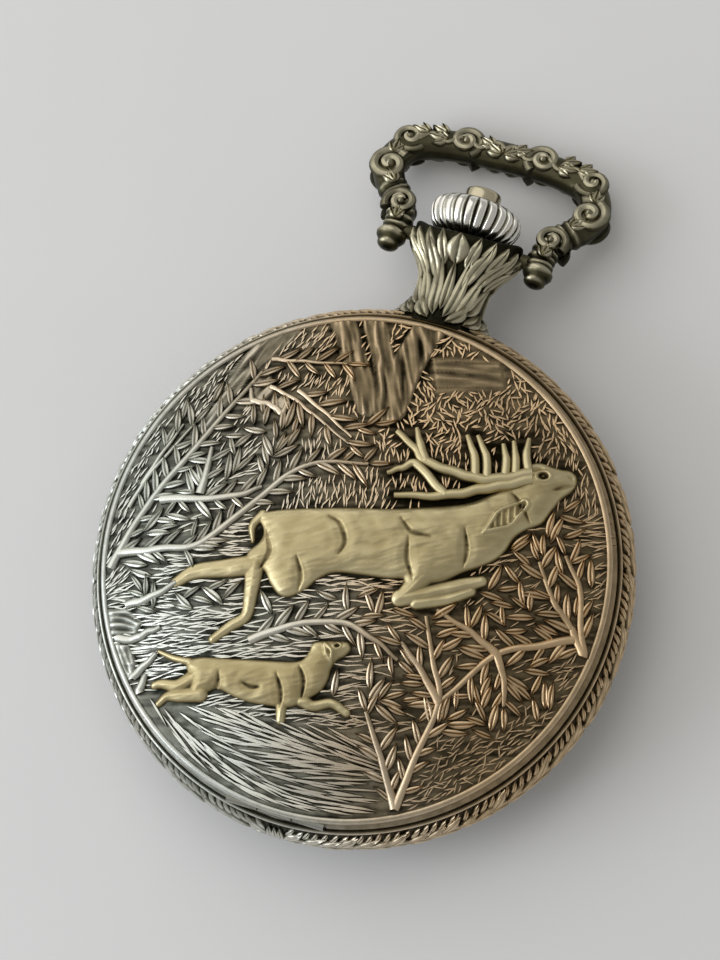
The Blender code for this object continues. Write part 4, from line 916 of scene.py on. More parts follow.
HOUND = Animal(
    "hound",
    ((-14.1, -8.8), (-12.8, -8.5), (-10.0, -8.7), (-6.9, -8.9), (-4.1, -9.0), (-3.2, -8.3), (-2.8, -7.5),
     (-2.0, -7.3), (-0.7, -7.3), (0.3, -7.4), (0.6, -8.0), (0.1, -8.6), (-0.6, -9.0), (-1.1, -9.7),
     (-1.4, -10.7), (-2.1, -11.7), (-3.5, -12.5), (-5.0, -13.0), (-6.6, -12.8), (-8.4, -12.5), (-9.8, -12.0),
     (-11.1, -11.4), (-12.3, -11.6), (-13.2, -12.0), (-14.0, -11.6), (-13.9, -10.4), (-14.2, -9.5)),
    (((-13.9, -8.9), (-15.4, -8.5), (-16.8, -7.9)),
     ((-13.5, -10.2), (-15.0, -10.9), (-16.5, -10.7), (-17.2, -10.8)),
     ((-12.9, -11.6), (-14.8, -11.7), (-16.0, -11.8), (-16.8, -12.4)),
     ((-5.3, -11.6), (-5.5, -12.9), (-5.6, -14.0)),
     ((-3.7, -12.3), (-2.7, -12.8), (-1.1, -12.6), (0.2, -13.4))),
    ((0.4, 0.3, 0.22), (0.75, 0.6, 0.45, 0.4), (0.8, 0.65, 0.45, 0.35), (0.7, 0.55, 0.45),
     (0.65, 0.5, 0.45, 0.4)),
    ((-1.7, -7.6), (-1.3, -8.3), (-1.1, -9.1)),
    (0.2, 0.42, 0.12),
    (-0.6, -7.75, 0.26),
    ((-12.3, -10.2, 1.4, 0.12), (-5.1, -10.9, 1.5, 0.12), (-8.6, -10.0, 2.0, 0.08), (-1.1, -8.0, 0.7, 0.06)),
    (((-5.9, -10.1), (-5.5, -11.6), (-5.6, -12.9)), ((-3.9, -9.4), (-3.5, -10.7), (-3.7, -12.1)),
     ((-11.1, -9.9), (-11.3, -11.0), (-12.0, -11.6)), ((-9.0, -10.8), (-8.2, -11.2), (-7.4, -11.2))),
    0.52, 1.5, 0.5)

# The first two antlers are the beams, and the others their tines.
ANTLERS = [[(15.7, 7.2), (13.6, 6.6), (11.7, 6.2), (9.7, 5.7), (7.1, 5.4), (4.0, 5.5)],
           [(15.7, 7.7), (13.6, 7.2), (11.7, 7.0), (10.2, 7.3), (8.2, 7.9), (6.4, 8.7), (5.6, 9.8),
            (4.0, 11.3)],
           [(6.6, 8.5), (6.1, 10.0), (5.7, 11.6)],
           [(8.4, 5.5), (7.3, 6.7), (5.8, 8.3), (4.5, 7.9), (3.3, 7.5)],
           [(10.9, 6.9), (10.8, 9.0), (10.1, 11.0)], [(11.9, 6.8), (11.8, 9.0), (11.0, 11.0)],
           [(13.4, 6.9), (13.5, 8.8), (13.2, 10.3)], [(14.3, 7.1), (14.3, 8.9), (14.1, 10.6)],
           [(15.4, 7.9), (15.2, 9.4), (15.4, 10.9)]]
HORNS = ((ANTLERS[:2], [0.58, 0.5, 0.44, 0.26], 0.42), (ANTLERS[2:], [0.44, 0.4, 0.2], 0.42))
# What grows on the ground: lines, radii along each, and the height of its middle over the ground.
WOOD = ((BRANCHES, [0.46, 0.36, 0.32, 0.2], 0.14), (TWIGS, [0.24, 0.2, 0.12], 0.16),
        (LIMBS, [0.42, 0.4, 0.25], 0.16), ([LOG_LIP], [0.2, 0.34, 0.3, 0.34, 0.2], 0.16))
# Grooves of the animals are cut twice, broad and fine: half width and depth.
GROOVE_CUTS = ((1.0, 0.1), (0.3, 0.16))


def lid_ground(x: Array, y: Array) -> Array:
    """Height of the lid's sunken ground, which comes up towards the rim."""
    drop = GROUND_DROP * (1 - 0.55 * smooth(np.hypot(x, y), 20.4, LID_REACH))
    return lid_dome(x * x + y * y) - drop


def on_lid(u: Array, v: Array, lift: Array) -> Array:
    """Put picture points on the lid, this far above its sunken ground.

    Args:
        u: across the picture.
        v: up the picture.
        lift: height over the ground.

    Returns:
        Points in the watch frame, one row each.
    """
    x, y = turned_by(u, v, PICTURE_TURN)
    return np.stack([x, y, lid_ground(x, y) + lift], -1).reshape(-1, 3)


def rounded_edge(depth: Array, edge: float) -> Array:
    """Rise from 0 at an outline to 1 at this depth along a quarter of a circle; outside, fall steeply."""
    t = np.clip(depth / edge, 0, 1)
    return np.sqrt(1 - (1 - t) ** 2) + np.minimum(depth, 0) * 3.0


@dataclass
class Figure:
    """One animal in raised metal on the lid."""

    animal: Animal
    finishes: Finishes
    step: float = 0.085
    margin: float = 1.5
    seed: int = 11

    def field(self, canvas: Canvas) -> Array:
        """Depth inside the animal's whole outline, limbs and all, over a canvas.

        Args:
            canvas: the grid.

        Returns:
            The depth at each grid point.
        """
        whole = np.full(canvas.u.shape, -9.0)
        view, depth = canvas.area(curve_through(self.animal.outline, 180, closed=True), 1.0)
        whole[view] = depth
        for limb, width in zip(self.animal.limbs, self.animal.limb_width):
            view, depth = canvas.stroke(curve_through(limb, 24), along(list(width), 24), 1.0)
            whole[view] = np.maximum(whole[view], depth)
        return whole

    def model(self, canvas: Canvas, depth: Array, eye: Array) -> None:
        """Draw the body's heights.

        Args:
            canvas: takes the heights.
            depth: depth inside the whole outline.
            eye: distance from the middle of the eye, as a share of its size.
        """
        a = self.animal
        canvas.height = a.height * rounded_edge(depth, a.edge)
        inside = smooth(depth, 0.0, 0.5)
        for u, v, size, lift in a.bulges:
            canvas.height += inside * lift * np.exp(-((canvas.u - u)**2 + (canvas.v - v)**2) / size**2)
        for groove in a.grooves:
            line = curve_through(groove, 20)
            for width, sunk in GROOVE_CUTS:
                canvas.cut(line, width, sunk)
        view, ear = canvas.stroke(curve_through(a.ear, 16), along(list(a.ear_width), 16), 0.3)
        canvas.height[view] += 0.2 * smooth(ear, -0.1, 0.14) - 0.3 * smooth(ear, 0.16, 0.4)
        folds = np.maximum(np.sin(TURN * canvas.u[view] / 0.55), 0)
        canvas.height[view] += 0.16 * smooth(ear, 0.2, 0.45) * folds
        canvas.height += 0.12 * np.exp(-((eye - 1.3) / 0.25) ** 2) - 0.3 * smooth(-eye, -1.0, -0.6)
        canvas.height += 0.22 * smooth(-eye, -0.5, -0.15)
        # Short hair and dents are a fine chased grain along the body.
        rng = np.random.default_rng(self.seed)
        hair = 0.016 * canvas.streaks(rng, 0.45, 0.1, 0.2)
        canvas.height += inside * (hair + 0.035 * canvas.streaks(rng, 0.55, 0.4))

    def build(self) -> None:
        """Model the animal on a fine grid and close it into a plate."""
        a = self.animal
        every = np.vstack([a.outline] + [np.array(limb) for limb in a.limbs])
        low, high = every.min(0) - self.margin, every.max(0) + self.margin
        canvas = Canvas(tuple(low), tuple(high), self.step)
        depth = self.field(canvas)
        eye = np.hypot(canvas.u - a.eye[0], (canvas.v - a.eye[1]) * 1.35) / a.eye[2]
        self.model(canvas, depth, eye)
        hollow = canvas.height - canvas.blurred(canvas.height, 0.42)
        patina = np.clip(a.worn + 3.2 * np.minimum(hollow, 0) + 1.4 * np.maximum(hollow, 0), 0, 1)
        patina *= smooth(depth, -0.12, 0.3) * (1 - 0.7 * smooth(-eye, -1.0, -0.6))
        keep = depth > -0.2
        used, quads = shell_faces(keep[:-1, :-1] & keep[1:, :-1] & keep[:-1, 1:] & keep[1:, 1:])
        u, v = canvas.u.ravel()[used], canvas.v.ravel()[used]
        top = on_lid(u, v, canvas.height.ravel()[used])
        under = on_lid(u, v, np.full(len(u), -0.2 * GROUND_DROP))
        worn = patina.ravel()[used]
        put_mesh(Piece("lid_" + a.name, self.finishes.gold, "lid"), np.vstack([top, under]), quads,
                 {"patina": np.concatenate([worn, worn])}, weld=False, sharp=180)


@dataclass
class Foliage:
    """Branches, antlers and leaves that stand on the lid as rounded and creased pieces.

    The insets keep each kind inside the picture's edge. A leaf or stroke needs this much freedom from the
    animals, and may find its ground this much crowded by leaves.
    """

    finishes: Finishes
    blocked: Canvas
    free: Array
    rng: np.random.Generator
    branch_sides: int = 10
    branch_inset: float = 0.55
    leaf_inset: float = 0.6
    stroke_inset: float = 0.3
    blade_inset: float = 0.32
    leaf_free: float = 0.35
    stroke_free: float = 0.6
    leaf_crowd: float = 0.4
    stroke_crowd: float = 0.22
    line_pitch: float = 0.85
    twig_pitch: float = 0.62
    stroke_pitch: float = 0.5
    leaves: list = field(default_factory=list)
    taken: Array = field(init=False)

    def __post_init__(self) -> None:
        """Start with no ground taken by leaves."""
        self.taken = np.zeros_like(self.free)

    def branch(self, line: Points, radius: list[float], lift: float) -> Shape:
        """Sweep one branch, half sunk in the ground.

        Args:
            line: places in the picture that it passes.
            radius: radii along it.
            lift: height of its middle over the ground.

        Returns:
            Points, quads and patina.
        """
        count = 10 * len(line)
        flat = curve_through(line, count)
        flat *= np.minimum(1, (LID_REACH - self.branch_inset) / np.maximum(np.hypot(*flat.T), 1.0))[:, None]
        sway = 0.05 * np.sin(np.linspace(0, 5.0 * len(line), count))
        path = on_lid(flat[:, 0], flat[:, 1] + sway, np.full(count, lift))
        points, quads = swept(path, along(radius, count), self.branch_sides, flatten=0.9)
        # The plate is thin, so the foot goes only just into it.
        points[:, 2] = np.maximum(points[:, 2], lid_ground(points[:, 0], points[:, 1]) - 0.08)
        middle = np.repeat(np.concatenate([path[:1, 2], path[:, 2], path[-1:, 2]]), self.branch_sides)
        worn = np.clip((points[:, 2] - middle) / max(radius) * 0.6 + 0.45, 0, 1)
        return points, quads, {"patina": worn}

    def take(self, path: Array, width: Array) -> None:
        """Mark the ground under a stroke as taken."""
        view, depth = self.blocked.stroke(path, width)
        self.taken[view] = np.maximum(self.taken[view], depth > 0)

    def sprout(self, place: Array, heading: float, length: float) -> None:
        """Note one leaf, if it lies on free ground beside the leaves before it.

        Args:
            place: its foot.
            heading: its angle.
            length: its length.
        """
        half = length * self.rng.uniform(0.13, 0.165)
        run = length * np.array([math.cos(heading), math.sin(heading)])
        spots = place + np.outer([0.25, 0.5, 0.75, 1.0], run)
        if np.hypot(*spots.T).max() > LID_REACH - self.leaf_inset:
            return
        if self.blocked.read(self.free, spots[:, 0], spots[:, 1]).min() < self.leaf_free:
            return
        if self.blocked.read(self.taken, spots[:3, 0], spots[:3, 1]).max() > self.leaf_crowd:
            return
        self.take(place + np.outer([0.15, 0.85], run), np.full(2, 0.75 * half))
        bend = self.rng.uniform(-0.2, 0.2)
        self.leaves.append((place[0], place[1], heading, length, half, bend, self.rng.uniform(0.0, 0.08)))

    def dress_line(self, path: Array, pitch: float) -> None:
        """Set leaves by turns on both sides of a stem, and one at its end.

        Args:
            path: the stem's points.
            pitch: the way from leaf to leaf.
        """
        reach = reach_along(path)
        for k, s in enumerate(np.arange(0.5, reach[-1], pitch)):
            i = min(int(np.searchsorted(reach, s)), len(path) - 2)
            run = path[i + 1] - path[i]
            heading = math.atan2(run[1], run[0]) + (-1) ** k * self.rng.uniform(0.5, 0.95)
            self.sprout(path[i], heading, self.rng.uniform(2.0, 2.9))
        run = path[-1] - path[-2]
        self.sprout(path[-1], math.atan2(run[1], run[0]), 2.2)

    def twig(self, place: Array, heading: float) -> None:
        """Dress a short bare stem."""
        run = self.rng.uniform(1.6, 3.2) * np.array([math.cos(heading), math.sin(heading)])
        self.dress_line(place + np.outer(np.linspace(0, 1, 8), run), self.twig_pitch)

    def chased(self, plain: Array) -> list:
        """Short strokes that fill the ground between the leaves, each region leaning its own way.

        Args:
            plain: 1 where the ground is open.

        Returns:
            The strokes, as leaves.
        """
        g = np.arange(-22.0, 22.1, self.stroke_pitch)
        u, v = (a.ravel() + self.rng.uniform(-0.2, 0.2, a.size) for a in np.meshgrid(g, g))
        open_ground = self.blocked.read(plain * self.free, u, v) > self.stroke_free
        near = self.blocked.blurred(self.taken, 0.22)
        open_ground &= np.hypot(u, v) < LID_REACH - self.stroke_inset
        open_ground &= self.blocked.read(near, u, v) < self.stroke_crowd
        u, v = u[open_ground], v[open_ground]
        grass = smooth(v, 3.6, 4.8) * smooth(u, -9.0, -7.0)
        slope = smooth(v - 0.9 * u, 15.0, 19.0)
        right = smooth(u, 4.0, 8.0) * smooth(-v, -2.0, 1.0)
        bush = smooth(v, 9.4, 10.4) * smooth(u, 1.5, 3.0)
        heading = 0.05 + 1.4 * grass * (1 - slope) + 0.95 * slope + 0.55 * right
        heading += bush * 0.9 * np.sin(1.5 * u + 2.0 * np.sin(1.1 * v))
        heading += self.rng.normal(0, 0.14 + 0.12 * grass + 0.2 * right + 0.15 * bush)
        shorter = 0.45 * np.maximum(np.maximum(grass, right), slope)
        length = self.rng.uniform(1.2, 2.4, u.size) * (1 - shorter)
        half = self.rng.uniform(0.12, 0.18, u.size) + 0.04 * bush
        bend = self.rng.uniform(-0.2, 0.2, u.size)
        lift = self.rng.uniform(-0.04, 0.04, u.size)
        u, v = u - 0.5 * length * np.cos(heading), v - 0.5 * length * np.sin(heading)
        return list(zip(u, v, heading, length, half, bend, lift))

    def meadow(self) -> list:
        """Long blades that sweep down the meadow under the hound.

        Returns:
            The blades, as rows for leaf_shapes.
        """
        u, v = (a.ravel() for a in np.meshgrid(np.arange(-19, 4, 1.4), np.arange(-22, -10.5, 0.46)))
        u, v = u + self.rng.uniform(-0.7, 0.7, u.size), v + self.rng.uniform(-0.15, 0.15, u.size)
        view, inside = self.blocked.area(curve_through(MEADOW, 60, closed=True))
        depth = np.full(self.blocked.u.shape, -1.0)
        depth[view] = inside
        length = self.rng.uniform(2.6, 5.0, u.size)
        fall = smooth(v + 0.25 * u, -19.5, -15.5)
        near = smooth(np.hypot(u, v), 18.6, 20.6)
        heading = (1 - near) * (-0.06 - 0.36 * fall) + near * (np.arctan2(v, u) + QUARTER)
        heading += self.rng.normal(0, 0.04, u.size)
        keep = np.ones(u.size, bool)
        for share in (0.0, 0.5, 1.0):
            a, b = u + share * length * np.cos(heading), v + share * length * np.sin(heading)
            keep &= self.blocked.read(depth, a, b) > -0.3
            keep &= self.blocked.read(self.free, a, b) > self.stroke_free
            keep &= np.hypot(a, b) < LID_REACH - self.blade_inset
        half = self.rng.uniform(0.17, 0.24, u.size)
        bend = self.rng.uniform(-0.06, 0.06, u.size)
        blades = zip(u, v, heading, length, half, bend, np.zeros(u.size))
        return [blade for blade, kept in zip(blades, keep) if kept]

    def build(self, plain: Array) -> None:
        """Build the antlers, the branches, every leaf and the chased strokes between them.

        Args:
            plain: how plain the ground is at each grid point.
        """
        for name, finish, grown in (("lid_antlers", self.finishes.gold, HORNS),
                                    ("lid_branches", self.finishes.leaf, WOOD)):
            shapes = [self.branch(line, radius, lift) for lines, radius, lift in grown for line in lines]
            put_shapes(Piece(name, finish, "lid"), shapes)
        for line in BRANCHES + TWIGS:
            self.take(curve_through(line, 24), np.full(24, 0.25))
        for line in BRANCHES + TWIGS:
            self.dress_line(curve_through(line, 60), self.line_pitch)
        for middle, half, count in THICKETS:
            for _ in range(count):
                self.twig(np.array(middle) + self.rng.uniform(-1, 1, 2) * half, self.rng.uniform(0.1, 2.6))
        leaves = leaf_shapes(self.leaves, on_lid, 0.1, 0.22, crease=0.6)
        put_shapes(Piece("lid_leaves", self.finishes.leaf, "lid"), [leaves])
        strokes = [leaf_shapes(self.chased(plain), on_lid, 0.0, 0.11, STROKE_SECTION, 4, 0.0),
                   leaf_shapes(self.meadow(), on_lid, 0.04, 0.2, STROKE_SECTION, 6, 0.0)]
        put_shapes(Piece("lid_strokes", self.finishes.leaf, "lid"), strokes)


LID_RIM = [(22.7, 9.3), (22.7, 9.72), (22.67, 9.9), (22.6, 10.04), (22.48, 10.13), (22.34, 10.15),
           (22.22, 10.1), (22.15, 10.0), (22.15, 9.7), (22.0, 9.6), (22.0, 9.3)]


@dataclass
class Lid:
    """Sprung front cover: relief ground, animals, foliage, polished rim and hinge knuckle.

    The inner face lies this deep under the smooth dome, and rises at the edge, where a low wall meets it.
    """

    finishes: Finishes
    ground_step: float = 0.08
    cells: int = 296
    inner_depth: float = 1.15
    inner_rise: float = 0.45
    inner_rings: int = 16
    inner_worn: float = 0.85
    edge_wall: float = 0.2
    ground_seed: int = 7
    foliage_seed: int = 23

    def wood(self, canvas: Canvas, plain: Array, level: Array, leaning: Array, bark: Array) -> None:
        """Raise the trunks, the logs and the stump, and note that the ground under them isn't open.

        Args:
            canvas: takes the heights.
            plain: how open the ground is.
            level: grain along the picture.
            leaning: grain along the leaning trunk.
            bark: grain up the trunks.
        """
        def lay(view: Window, inside: Array, height: float, edge: float, grain: Array, rough: float) -> None:
            """Raise one piece with a rounded edge and a grain."""
            canvas.raise_to(view, height * rounded_edge(inside, edge) + rough * grain[view] * (inside > 0.1))
            plain[view] *= inside < 0.0

        for line, width in zip(TRUNKS, TRUNK_WIDTHS):
            lay(*canvas.stroke(curve_through(line, 24), np.full(24, width)), 0.2, 0.45, bark, 0.13)
        taper = along([1.0, 1.0, 0.9, 0.6], 24)
        lay(*canvas.stroke(curve_through(LEANING_TRUNK, 24), taper), 0.16, 0.5, leaning, 0.12)
        for outline, cuts in ((FALLEN_LOG, LOG_CUTS), (STUMP, STUMP_CUTS)):
            lay(*canvas.area(np.array(outline), 0.5), 0.3, 0.6, level, 0.05)
            for line in cuts:
                canvas.cut(curve_through(line, 16), 0.22, 0.2)
        lay(*canvas.area(np.array(BROKEN_LOG, float), 0.3), 0.16, 0.6, leaning, 0.14)

    def ground(self) -> tuple[Canvas, Array, Array, Array]:
        """Draw the ground behind the scene.

        Returns:
            The canvas, its patina with a painted shadow round the animals, how free of animals each place
            is, and how open its ground is.
        """
        rng = np.random.default_rng(self.ground_seed)
        canvas = Canvas((-22.2, -22.2), (22.2, 22.2), self.ground_step)
        level = canvas.streaks(rng, 0.8, 0.12)
        leaning = canvas.streaks(rng, 0.7, 0.12, 0.95)
        canvas.height = 0.03 * level + 0.025 * canvas.streaks(rng, 0.6, 0.5)
        plain = np.ones_like(canvas.u)
        meadow, depth = canvas.area(curve_through(MEADOW, 60, closed=True), 1.5)
        plain[meadow] *= 1 - smooth(depth, -0.3, 0.2)
        view, inside = canvas.area(np.array(PANEL, float), 0.6)
        canvas.raise_to(view, smooth(inside, -0.2, 0.2) * (0.1 + 0.07 * level[view]))
        plain[view] *= 1 - smooth(inside, -0.4, 0.0)
        for line in PLANKS:
            canvas.cut(np.array(line, float), 0.2, 0.14)
        self.wood(canvas, plain, level, leaning, canvas.streaks(rng, 0.9, 0.1, 1.75))
        free = np.ones_like(canvas.u)
        for animal in (STAG, HOUND):
            inside = Figure(animal, self.finishes).field(canvas)
            free *= 1 - smooth(inside, -0.35, 0.1)
            canvas.height *= 1 - 0.9 * smooth(inside, -0.25, 0.15)
        for line in ANTLERS:
            view, inside = canvas.stroke(curve_through(line, 20), np.full(20, 0.62), 0.5)
            free[view] *= 1 - smooth(inside, -0.2, 0.2)
        hollow = canvas.height - canvas.blurred(canvas.height, 0.5)
        # Painted shadow: the ground darkens round the animals and antlers, where they would shade it.
        shade = canvas.blurred(1 - free, 0.7)
        patina = np.clip(0.24 + 2.6 * hollow - 0.25 * shade + 0.16 * (1 - plain), 0, 1)
        patina[meadow] -= 0.08 * smooth(depth, -0.3, 0.3)
        return canvas, patina, free, plain

    def shell(self, canvas: Canvas, patina: Array) -> None:
        """Press the ground into the lid's plate, whose inner face is a plain polished dome.

        A square grid is carried onto a disc ring by ring: each square ring becomes a circle.

        Args:
            canvas: the ground's heights.
            patina: its patina, with the painted shadow round the animals.
        """
        n = self.cells + 1
        p, q = np.meshgrid(np.linspace(-1, 1, n), np.linspace(-1, 1, n))
        swap = np.abs(q) > np.abs(p)
        ring = np.where(swap, q, p)
        ratio = np.divide(np.where(swap, p, q), ring, out=np.zeros_like(ring), where=ring != 0)
        angle = ratio * math.pi / 4
        u, v = turned_by(LID_REACH * ring * np.where(swap, np.sin(angle), np.cos(angle)),
                         LID_REACH * ring * np.where(swap, np.cos(angle), np.sin(angle)), -PICTURE_TURN)
        top = on_lid(u.ravel(), v.ravel(), canvas.read(canvas.height, u, v).ravel())
        worn = canvas.read(patina, u, v).ravel()
        number = np.arange(n * n).reshape(n, n)
        edge = np.concatenate([number[0, :-1], number[:-1, -1], number[-1, :0:-1], number[:0:-1, 0]])
        steps = len(edge) // 4
        radii = np.linspace(LID_REACH, 0.0, self.inner_rings)
        inner = lid_dome(radii**2) - self.inner_depth + self.inner_rise * (radii / LID_REACH) ** 6
        heading = np.arctan2(top[edge[::4], 1], top[edge[::4], 0])
        under = np.stack([np.outer(radii[1:], np.cos(heading)), np.outer(radii[1:], np.sin(heading)),
                          np.repeat(inner[1:, None], steps, 1)], -1).reshape(-1, 3)
        skirt = top[edge] - self.edge_wall * UP
        first = len(top) + len(skirt)
        below = np.arange(len(edge)) + len(top)
        wall = np.stack([edge, np.roll(edge, -1), np.roll(below, -1), below], 1)
        # Each point of the dome's outer row meets four steps of the skirt, in faces of seven corners.
        k = np.arange(steps)
        outer = [len(top) + (4 * k + j) % len(edge) for j in range(5)]
        sevens = np.stack(outer + [first + (k + 1) % steps, first + k], 1)
        dome = grid_faces(len(radii) - 1, steps, wrap_columns=True) + first
        extra = sevens[:, ::-1].tolist() + dome[:, ::-1].tolist()
        values = np.concatenate([worn, np.full(len(skirt) + len(under), self.inner_worn)])
        put_mesh(Piece("lid_relief", self.finishes.relief, "lid", replaces=("lid",)),
                 np.vstack([top, skirt, under]), np.vstack([grid_faces(n, n), wall[:, ::-1]]),
                 {"patina": values}, extra, sharp=180)

    def build(self) -> None:
        """Build every piece of the lid."""
        canvas, patina, free, plain = self.ground()
        Foliage(self.finishes, canvas, free, np.random.default_rng(self.foliage_seed)).build(plain)
        self.shell(canvas, patina)
        for animal in (STAG, HOUND):
            Figure(animal, self.finishes).build()
        put_turned(Piece("lid_rim", self.finishes.relief, "lid"), LID_RIM, 256, worn=0.78)
        put_turned(Piece("lid_knuckle", self.finishes.rim, "lid"), KNUCKLE, KNUCKLE_STEPS, Axis.LID_HINGE)


BAND_SIDE = [(22.95, 8.72), (23.62, 7.6), (24.02, 6.1), (23.87, 5.0), (23.32, 3.88)]
SHOULDER = np.array([(22.28, 9.0), (22.62, 8.98), (22.84, 8.86), (23.0, 8.62), (22.7, 8.6), (22.3, 8.8)])
# Beads along the band: way down from its middle, and radius.
BEADS = ((0.0, 0.22), (-2.45, 0.2), (2.2, 0.2))


@dataclass
class CaseBand:
    """Outside of the case: a garland of laurel leaves on a dark ground, from 6 o'clock up to the pendant.

    The shoulder leaves twice its gap, an angle, open for the hinge.
    """

    finishes: Finishes
    radius: float = 24.0
    middle: float = 6.1
    steps: int = 288
    shoulder_steps: int = 280
    shoulder_gap: float = 0.204
    seed: int = 5

    def place(self, u: Array, v: Array, lift: Array) -> Array:
        """Put points on the band.

        Args:
            u: way round from 6 o'clock.
            v: way down the side from its middle.
            lift: height over the side, along its normal.

        Returns:
            Points, one row each.
        """
        side = curve_through(BAND_SIDE, 80)
        run = unit(np.gradient(side, axis=0))
        s = reach_along(side)
        s -= np.interp(self.middle, side[::-1, 1], s[::-1])
        r = np.interp(v, s, side[:, 0]) - lift * np.interp(v, s, run[:, 1])
        z = np.interp(v, s, side[:, 1]) + lift * np.interp(v, s, run[:, 0])
        r, z, a = np.broadcast_arrays(r, z, u / self.radius - QUARTER)
        return np.stack([r * np.cos(a), r * np.sin(a), z], -1).reshape(-1, 3)

    def put(self, name: str, points: Array, quads: Array, worn: float) -> None:
        """Make a plain piece of the band with one patina."""
        put_mesh(Piece(name, self.finishes.ornament, "case"), points, quads,
                 {"patina": np.full(len(points), worn)})

    def ground(self, u: Array) -> None:
        """Build the dark ground, at these ways round.

        Args:
            u: ways round.
        """
        v = np.linspace(-2.6, 2.3, 14)[:, None]
        outer = self.place(u[None], v, np.zeros((1, 1)))
        inner = self.place(u[None], v[::-1], np.full((1, 1), -0.25))
        self.put("band_ground", np.vstack([outer, inner]), ring_faces(2 * len(v), self.steps), 0.16)

    def shoulder(self) -> None:
        """Build the moulding under the lid, open at the hinge."""
        a = np.linspace(self.shoulder_gap, TURN - self.shoulder_gap, self.shoulder_steps)[:, None] - QUARTER
        r, z = SHOULDER.T
        ring = np.stack(np.broadcast_arrays(r * np.cos(a), r * np.sin(a), z), -1)
        ends = [np.broadcast_to(ring[k].mean(0), ring[k].shape)[None] for k in (0, -1)]
        ring = np.concatenate([ends[0], ring, ends[1]])
        quads = grid_faces(len(ring), len(SHOULDER), wrap_columns=True)
        self.put("band_shoulder", ring.reshape(-1, 3), quads, 0.66)

    def build(self) -> None:
        """Build the ground, the shoulder, the garland and the beads that edge it."""
        u = np.arange(self.steps) * TURN * self.radius / self.steps
        self.ground(u)
        self.shoulder()
        leaves = []
        rng = np.random.default_rng(self.seed)
        half_way = self.radius * math.pi
        for side in (1, -1):
            for k, s in enumerate(np.arange(0.8, half_way - 4.4, 4.64 / 3)):
                bold = k % 3 == 0
                for row in (1, -1):
                    lean = row * (rng.uniform(0.66, 0.8) if bold else rng.uniform(0.3, 0.55))
                    leaves.append((side * s, 0.05 * row, mirrored(lean, side), rng.uniform(2.2, 2.95),
                                   0.6 if bold else 0.42, -0.12 * row * side, rng.uniform(0.03, 0.1)))
            # Fine blades fill the band between the laurel and its upper bead.
            for s in np.arange(0.9, half_way - 4.2, 0.8):
                lean = -rng.uniform(0.85, 1.1)
                leaves.append((side * s, -0.75, mirrored(lean, side), rng.uniform(1.7, 2.0), 0.3, 0.1 * side,
                               -0.06))
        # A ribbon binds the two halves at 6 o'clock.
        leaves += [(x, -1.8, QUARTER, 3.5, 0.36, 0.0, 0.05) for x in (-0.5, 0.0, 0.5)]
        beads = [closed_tube(self.place(u, np.full(self.steps, level), np.full(self.steps, 0.06)), size)
                 for level, size in BEADS]
        put_shapes(Piece("band_garland", self.finishes.ornament, "case"),
                   [leaf_shapes(leaves, self.place, -0.02, 0.3)] + beads)


PENDANT_SIDE = [(4.7, 23.2), (4.15, 24.0), (3.5, 25.0), (3.0, 26.2), (2.98, 27.6), (3.5, 29.0), (4.45, 30.2),
                (5.0, 31.1), (5.08, 31.6)]
PENDANT_LIP = [(5.02, 31.75), (4.85, 31.85), (4.5, 31.85), (4.25, 31.8), (4.05, 31.72), (3.0, 31.7),
               (1.2, 31.7), (1.2, 31.0), (1.2, 23.2)]
# Leaves beside the middle of each face: count, foot and its step, tilt and its step, length and its step,
# half width, bend and lift.
PENDANT_LEAVES = [(3, (0.35, 23.9), (0.75, 0.4), (0.12, 0.26), (6.2, -0.8), 0.8, -0.26, 0.02),
                  (3, (1.15, 27.0), (1.25, 0.3), (0.2, 0.14), (4.3, -0.35), 0.72, -0.2, 0.06),
                  (3, (0.6, 23.5), (1.25, 0.2), (0.6, 0.26), (3.0, 0.0), 0.66, -0.28, 0.0),
                  (5, (0.95, 28.75), (0.95, 0.0), (0.08, 0.0), (3.05, 0.0), 0.54, 0.0, -0.06)]


def round_stem(r: Array, angle: Array, y: Array, flatten: float = 1.0) -> Array:
    """Put points round the stem, from radius, angle from the front and way along it, one row each."""
    y = np.broadcast_to(y, np.broadcast_shapes(np.shape(r), np.shape(angle)))
    return np.stack([r * np.sin(angle), y, STEM_Z + flatten * r * np.cos(angle)], -1).reshape(-1, 3)


